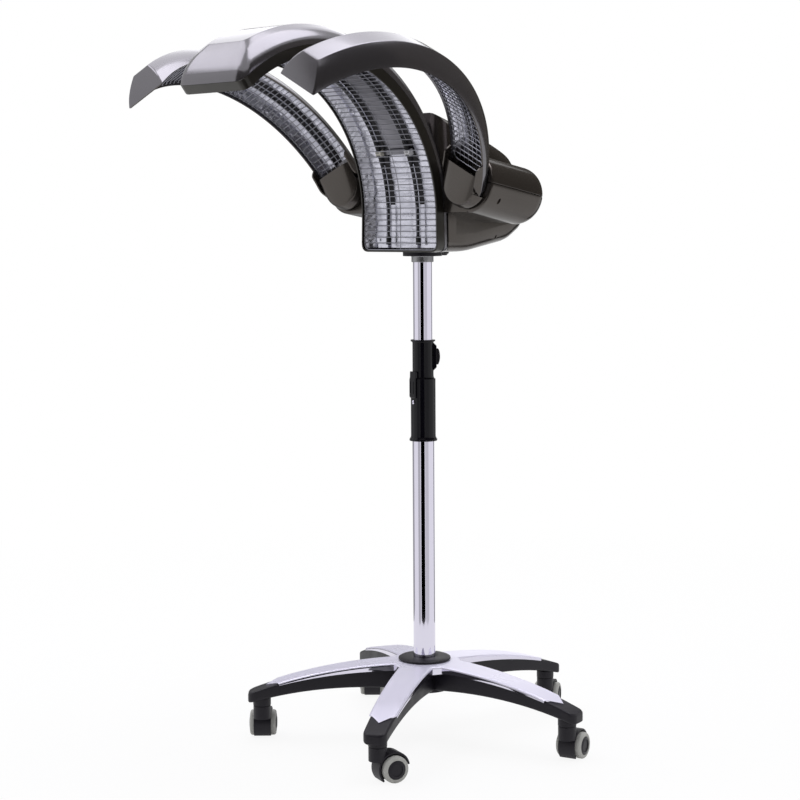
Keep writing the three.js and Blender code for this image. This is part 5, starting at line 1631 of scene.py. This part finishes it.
@dataclass
class SideArms:
    """The two narrow arms, each on an elbow that turns in its pod."""

    form: ArmForm
    pod: Pod = field(default_factory=Pod)
    lean: float = 26.5
    elbow_radius: float = 48.6
    ease: float = 4.6
    top: float = 34
    flange: float = 8
    bulge: float = 26
    bow: float = 14
    bow_ends: float = 0.4
    spare: float = 14
    ring: float = 2.2
    notch: float = 10
    sills: tuple[Point, ...] = ((24, 0, 4), (32, 9, 12))
    voxel: float = 1.8
    smoothing: int = 24
    pocket_half: float = 28
    pocket_wall: float = 3
    pocket_depth: float = 18
    pocket_round: float = 9
    lip: float = 7
    wires: tuple[float, ...] = (-24, -12, 0, 12, 24)
    net_drop: float = 7
    net_ease: float = 1.2
    foil_start: float = 2
    foil_end: float = 6
    lamp_start: float = 14
    tip_room: float = 14
    cheek: tuple[Flat, ...] = (
        (-8, 0), (-4, 4), (0, 8), (4, 12), (8, 14.6), (14, 16.8), (20, 17), (46, 14.5), (51, 12), (56, 0),
    )

    def frame(self, sign: int) -> Matrix:
        """Gives the frame of one arm as it rests."""
        return self.pod.frame(sign) @ rotation(sign * self.lean, "Y")

    def front(self, z: float) -> float:
        """Gives where the arm's open side lies at a height over the pivot."""
        path = self.form.path
        return path.axis_y + math.sqrt(path.radius ** 2 - (z - path.axis_z) ** 2)

    def shell(self) -> Workpiece:
        """Forms the shell with the two cheeks that lap the elbow, and trims its foot to the pod's face."""
        piece = self.form.shell(False, self.cheek)
        with piece.editing(whole=True):
            bpy.ops.mesh.bisect(
                plane_co=(0, -self.ring, 0), plane_no=(0, 1, 0), use_fill=True, clear_outer=True
            )
        return piece

    def lump(self, inside: float, face: float) -> Workpiece:
        """Draws the elbow together from the pod's ring to a bowed rim, and rounds it.

        Args:
            inside: Half the room between the cheeks.
            face: Where the arm's open side lies at the rim.

        Returns:
            The elbow without its openings.
        """
        r, top = self.elbow_radius, self.top
        shares = [i / 16 - 1 for i in range(33)]
        rim = [(inside * s, face - self.bow * (1 - self.bow_ends * s ** 6), top) for s in shares]
        body = Workpiece.prism([(-inside, -GAP, top)] + rim + [(inside, -GAP, top)], (0, 0, self.spare))
        sills = [Workpiece.block((-inside, -y, low), (inside, -GAP, high)) for y, low, high in self.sills]
        body.gather(
            *sills,
            Workpiece.rod(r, (0, -self.flange, 0), (0, -GAP, 0), 96),
            Workpiece.rod(r - self.ease, (0, -self.bulge, 0), (0, -GAP, 0), 96),
        )
        with body.editing(whole=True):
            bpy.ops.mesh.convex_hull()
        body.tidy()
        body.modify("REMESH", mode="VOXEL", voxel_size=self.voxel)
        body.modify("SMOOTH", factor=0.5, iterations=self.smoothing)
        with body.editing(whole=True):
            bpy.ops.mesh.bisect(plane_co=(0, 0, top), plane_no=(0, 0, 1), clear_outer=True, use_fill=True)
        return body

    def elbow(self) -> Workpiece:
        """Makes the elbow, trims it to the pod's ring and the shell's inside, and opens its mouth."""
        form, r, top = self.form, self.elbow_radius, self.top
        face = self.front(top)
        body = self.lump(form.half_width - form.wall, face)
        ring = Workpiece.turned([(r - 3, -1), (r + 20, -1), (r + 20, self.ring), (r - 3, self.ring)], 96)
        body.join(ring.place(rotation(90, "X")), Join.CUT)
        size = 4 * r
        room = form.throat(-form.wall - GAP, -120, 80, 120)
        room.join(Workpiece.block((-size, -size, -size), (size, size, self.cheek[0][0] - GAP)))
        body.join(room, Join.KEEP)
        half, wall, depth = self.pocket_half, self.pocket_wall, self.pocket_depth
        pocket = Workpiece.block((-half, face + wall, top - depth), (half, -GAP - wall, top + depth))
        pocket.bevel(self.pocket_round, 6, lambda p, n: abs(n.z) > ALONG)
        body.join(pocket, Join.CUT)
        notch = Workpiece.block((-60, -90, top - self.notch), (60, face + self.lip, top + 30))
        return body.join(notch, Join.CUT)

    def build(self) -> None:
        """Builds each piece once and sets a copy on both sides."""
        form = self.form
        path = form.path
        rise = math.pi - math.asin((self.top - path.axis_z) / path.radius)
        start = path.radius * (math.radians(path.start) - rise) + 2 * GAP
        setback = path.radius * math.radians(form.slant)
        end = path.length - form.wall - self.net_ease - setback * 5 / form.depth
        last = path.length - self.tip_room - setback
        inside = form.half_width - form.wall - self.net_ease
        net = form.net(inside, start - self.net_drop, end, self.wires)
        foil = form.trough(start + self.foil_start, last + self.foil_end, (0.0,))
        tube, caps = form.lamp(0, start + self.lamp_start, last)
        pieces = [
            (self.shell(), "shell", TAUPE, ["arm_shell"], 28.0),
            # The elbows take the darker copy of the lacquer, as painted shade.
            (self.elbow(), "elbow_cover", TAUPE_SHADED, ["elbow"], 35.0),
            (net, "guard", WIRE, ["grille"], 35.0),
            (foil, "foil", FOIL, ["reflector"], 14.0),
            (tube, "quartz", QUARTZ, ["lamp"], 35.0),
            (caps, "lamp_caps", CARBON, [], 35.0),
        ]
        for piece, name, finish, nodes, angle in pieces:
            for side, sign in (("right", 1), ("left", -1)):
                stands_for = [f"{side}_{node}" for node in nodes]
                copy = piece.copy(self.frame(sign))
                copy.finish(f"{side}_{name}", f"{side}_arm", finish, *stands_for, angle=angle)
            piece.scrap()


@dataclass
class Inside:
    """The solids that stay as they are, out of sight, and their finishes."""

    finishes: dict[str, Finish] = field(default_factory=lambda: {
        "guide_plug": NYLON,
        "right_pivot_tube": STEEL,
        "left_pivot_tube": STEEL,
        "chassis_plate": STEEL,
        "control_board": BOARD,
    })

    def dress(self) -> None:
        """Gives each solid its finish."""
        for name, finish in self.finishes.items():
            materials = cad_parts[name].data.materials
            materials.clear()
            materials.append(finish.material())
            LOG.info("%s: dressed", name)


@dataclass(frozen=True)
class Softbox:
    """A round area light: its place, target and width in metres, and its power in watts."""

    name: str
    spot: Point
    target: Point
    size: float
    power: float


@dataclass(frozen=True)
class Card:
    """A card that only mirrors see: turn and half width in degrees, grey, and heights in metres."""

    turn: float
    half: float
    grey: float
    low: float = 0.002
    high: float = 1.0


@dataclass
class Studio:
    """The camera, the floor, the lights and the cards that polished metal mirrors; sizes in metres."""

    eye: Point = (2.395, -2.660, 1.006)
    heading: Flat = (-0.669, 0.743)
    pitch: float = 5.41
    roll: float = -0.3
    lens: float = 83.07
    sensor: float = 36.0
    shift: float = -0.029
    sky: str = "#f4f5fa"
    ambient: float = 0.45
    floor_size: float = 60
    floor_colour: str = "#f2f1f0"
    floor_roughness: float = 0.8
    floor_glow: float = 0.9
    floor_fade: Flat = (0.5, 2.6)
    card_distance: float = 1.05
    pole_cards: tuple[Card, ...] = (
        Card(-8, 20, 0.0), Card(35, 18, 0.7), Card(-47, 12, 0.55), Card(135, 8, 0.03), Card(-148, 32, 0.4),
    )
    head_cards: tuple[Card, ...] = (
        Card(-40, 21, 0.07, 1.0, 1.7), Card(0, 21, 0.07, 1.0, 1.7), Card(40, 21, 0.07, 1.0, 2.2),
        Card(80, 21, 0.14, 1.0, 2.2), Card(120, 21, 0.14, 1.0, 2.2), Card(160, 21, 0.07, 1.0, 1.65),
        Card(200, 21, 0.07, 1.0, 1.65),
    )
    card_tint: Point = (1.08, 0.98, 0.84)
    lamp_tint: Point = (0.95, 0.94, 1.0)
    softboxes: tuple[Softbox, ...] = (
        Softbox("key_light", (-1.72, -1.23, 3.52), (0, -0.3, 1.1), 2.2, 34),
        Softbox("top_light", (0.4, 0.3, 3.7), (0, 0, 0.8), 2.6, 70),
        Softbox("rear_softbox", (-1.7, 1.2, 3.1), (0, -0.2, 1.25), 2.8, 30),
    )

    def camera(self) -> None:
        """Sets the camera at the photograph's viewpoint."""
        data = bpy.data.cameras.new("photo_camera")
        data.lens, data.sensor_width, data.shift_x = self.lens, self.sensor, self.shift
        camera = bpy.data.objects.new("photo_camera", data)
        bpy.context.scene.collection.objects.link(camera)
        tilt = math.radians(self.pitch)
        look = Vector((*[c * math.cos(tilt) for c in self.heading], -math.sin(tilt)))
        turn = look.to_track_quat("-Z", "Y").to_matrix().to_4x4()
        camera.matrix_world = Matrix.Translation(self.eye) @ turn @ rotation(self.roll)
        bpy.context.scene.camera = camera

    def seen(self, tree: bpy.types.NodeTree) -> bpy.types.NodeSocket:
        """Gives 1 for rays that see a surface or mirror it, and 0 for rays that only light."""
        path = add_node(tree, "ShaderNodeLightPath")
        either = add_node(tree, "ShaderNodeMath", links={
            0: path.outputs["Is Camera Ray"], 1: path.outputs["Is Glossy Ray"]}, operation="MAXIMUM")
        return add_node(tree, "ShaderNodeMath", links={
            0: either.outputs[0], 1: path.outputs["Is Transmission Ray"]}, operation="MAXIMUM").outputs[0]

    def surround(self) -> None:
        """Makes the white surround, which lights the object less than it shows."""
        world = bpy.data.worlds.new("studio")
        bpy.context.scene.world = world
        world.use_nodes = True
        tree = world.node_tree
        light = tree.nodes["Background"]
        light.inputs["Color"].default_value = linear(self.sky)
        light.inputs["Strength"].default_value = self.ambient
        shown = add_node(tree, "ShaderNodeBackground", {"Color": (1, 1, 1, 1), "Strength": 1.0})
        mix = add_node(tree, "ShaderNodeMixShader", links={
            0: self.seen(tree), 1: light.outputs[0], 2: shown.outputs[0]})
        tree.links.new(mix.outputs[0], tree.nodes["World Output"].inputs["Surface"])

    def floor(self) -> None:
        """Lays the pale floor, which keeps a soft shadow."""
        plane = Workpiece.primitive(bpy.ops.mesh.primitive_plane_add, size=self.floor_size).obj
        plane.name = "floor"
        paint = bpy.data.materials.new("Pale studio floor")
        paint.use_nodes = True
        tree = paint.node_tree
        shader = tree.nodes["Principled BSDF"]
        shader.inputs["Base Color"].default_value = linear(self.floor_colour)
        shader.inputs["Roughness"].default_value = self.floor_roughness
        glow = add_node(tree, "ShaderNodeEmission", {"Color": (1, 1, 1, 1), "Strength": 1.0})
        place = add_node(tree, "ShaderNodeTexCoord").outputs["Object"]
        away = add_node(tree, "ShaderNodeVectorMath", links={0: place}, operation="LENGTH")
        near, far = self.floor_fade
        glowing = add_node(
            tree, "ShaderNodeMapRange", {"From Min": near, "From Max": far, "To Min": self.floor_glow},
            {"Value": away.outputs["Value"]},
        )
        share = add_node(tree, "ShaderNodeMath", links={0: self.seen(tree), 1: glowing.outputs["Result"]},
                         operation="MULTIPLY")
        mix = add_node(tree, "ShaderNodeMixShader", links={
            0: share.outputs[0], 1: shader.outputs[0], 2: glow.outputs[0]})
        tree.links.new(mix.outputs[0], tree.nodes["Material Output"].inputs["Surface"])
        plane.data.materials.append(paint)

    def mirror_cards(self) -> None:
        """Stands cards round the object that only mirrors see, for the dark streaks in the chrome."""
        facing = math.degrees(math.atan2(self.eye[1], self.eye[0]))
        for number, plan in enumerate(self.pole_cards + self.head_cards):
            tint = self.card_tint if plan in self.head_cards else (1.0, 1.0, 1.0)
            angle = math.radians(facing + plan.turn)
            width = 2 * self.card_distance * math.tan(math.radians(plan.half))
            x, y = self.card_distance * math.cos(angle), self.card_distance * math.sin(angle)
            stand = rotation(facing + plan.turn + 90) @ rotation(90, "X")
            size = Matrix.Diagonal((width, plan.high - plan.low, 1, 1))
            card = Workpiece.primitive(bpy.ops.mesh.primitive_plane_add, size=1)
            middle = Matrix.Translation((x, y, (plan.low + plan.high) / 2))
            card = card.place(middle @ stand @ size).obj
            card.name = f"mirror_card_{number}"
            paint = bpy.data.materials.new(card.name)
            paint.use_nodes = True
            tree = paint.node_tree
            colour = (*[plan.grey * c for c in tint], 1)
            glow = add_node(tree, "ShaderNodeEmission", {"Color": colour, "Strength": 1.0})
            tree.links.new(glow.outputs[0], tree.nodes["Material Output"].inputs["Surface"])
            card.data.materials.append(paint)
            for ray in ("camera", "diffuse", "shadow", "transmission"):
                setattr(card, f"visible_{ray}", False)

    def hang(self, plan: Softbox) -> None:
        """Hangs one softbox, turned to its target."""
        data = bpy.data.lights.new(plan.name, "AREA")
        data.shape, data.size, data.energy, data.color = "DISK", plan.size, plan.power, self.lamp_tint
        lamp = bpy.data.objects.new(plan.name, data)
        bpy.context.scene.collection.objects.link(lamp)
        look = Vector(plan.target) - Vector(plan.spot)
        turn = look.to_track_quat("-Z", "Y").to_matrix().to_4x4()
        lamp.matrix_world = Matrix.Translation(plan.spot) @ turn

    def build(self) -> None:
        """Builds the studio."""
        bpy.context.scene.view_settings.view_transform = "Standard"
        self.camera()
        self.surround()
        self.floor()
        self.mirror_cards()
        for plan in self.softboxes:
            self.hang(plan)


def centre_form() -> ArmForm:
    """Gives the form of the wide centre arm, in the part's frame."""
    path = ArmPath(axis_y=-345, axis_z=1023, radius=278, start=180, tip=49, riser=68, taper=0.15)
    return ArmForm(path, half_width=99, band=58, depth=57.6, base=20, slant=13, tip_round=24, tip_curl=0.5)


def side_form() -> ArmForm:
    """Gives the form of a side arm, in the frame of its pivot."""
    radius, drop = 293, 115
    start = 180 - math.degrees(math.asin(drop / radius))
    path = ArmPath(axis_y=-285, axis_z=-drop, radius=radius, start=start, tip=43)
    return ArmForm(path, half_width=47.4, band=21, depth=37, base=0, slant=7, draft=0.93,
                   shoulder_width=0.45, bed_edge=3, tip_round=4)


def main() -> None:
    """Builds the studio and every sub-assembly in order."""
    logging.basicConfig(level=logging.INFO, format="%(message)s")
    centre = centre_form()
    Studio().build()
    Base().build()
    Casters().build()
    HeightLock().build()
    Casing(centre).build()
    Controls().build()
    CentreArm(centre).build()
    SideArms(side_form()).build()
    Inside().dress()


if __name__ == "__main__":
    main()
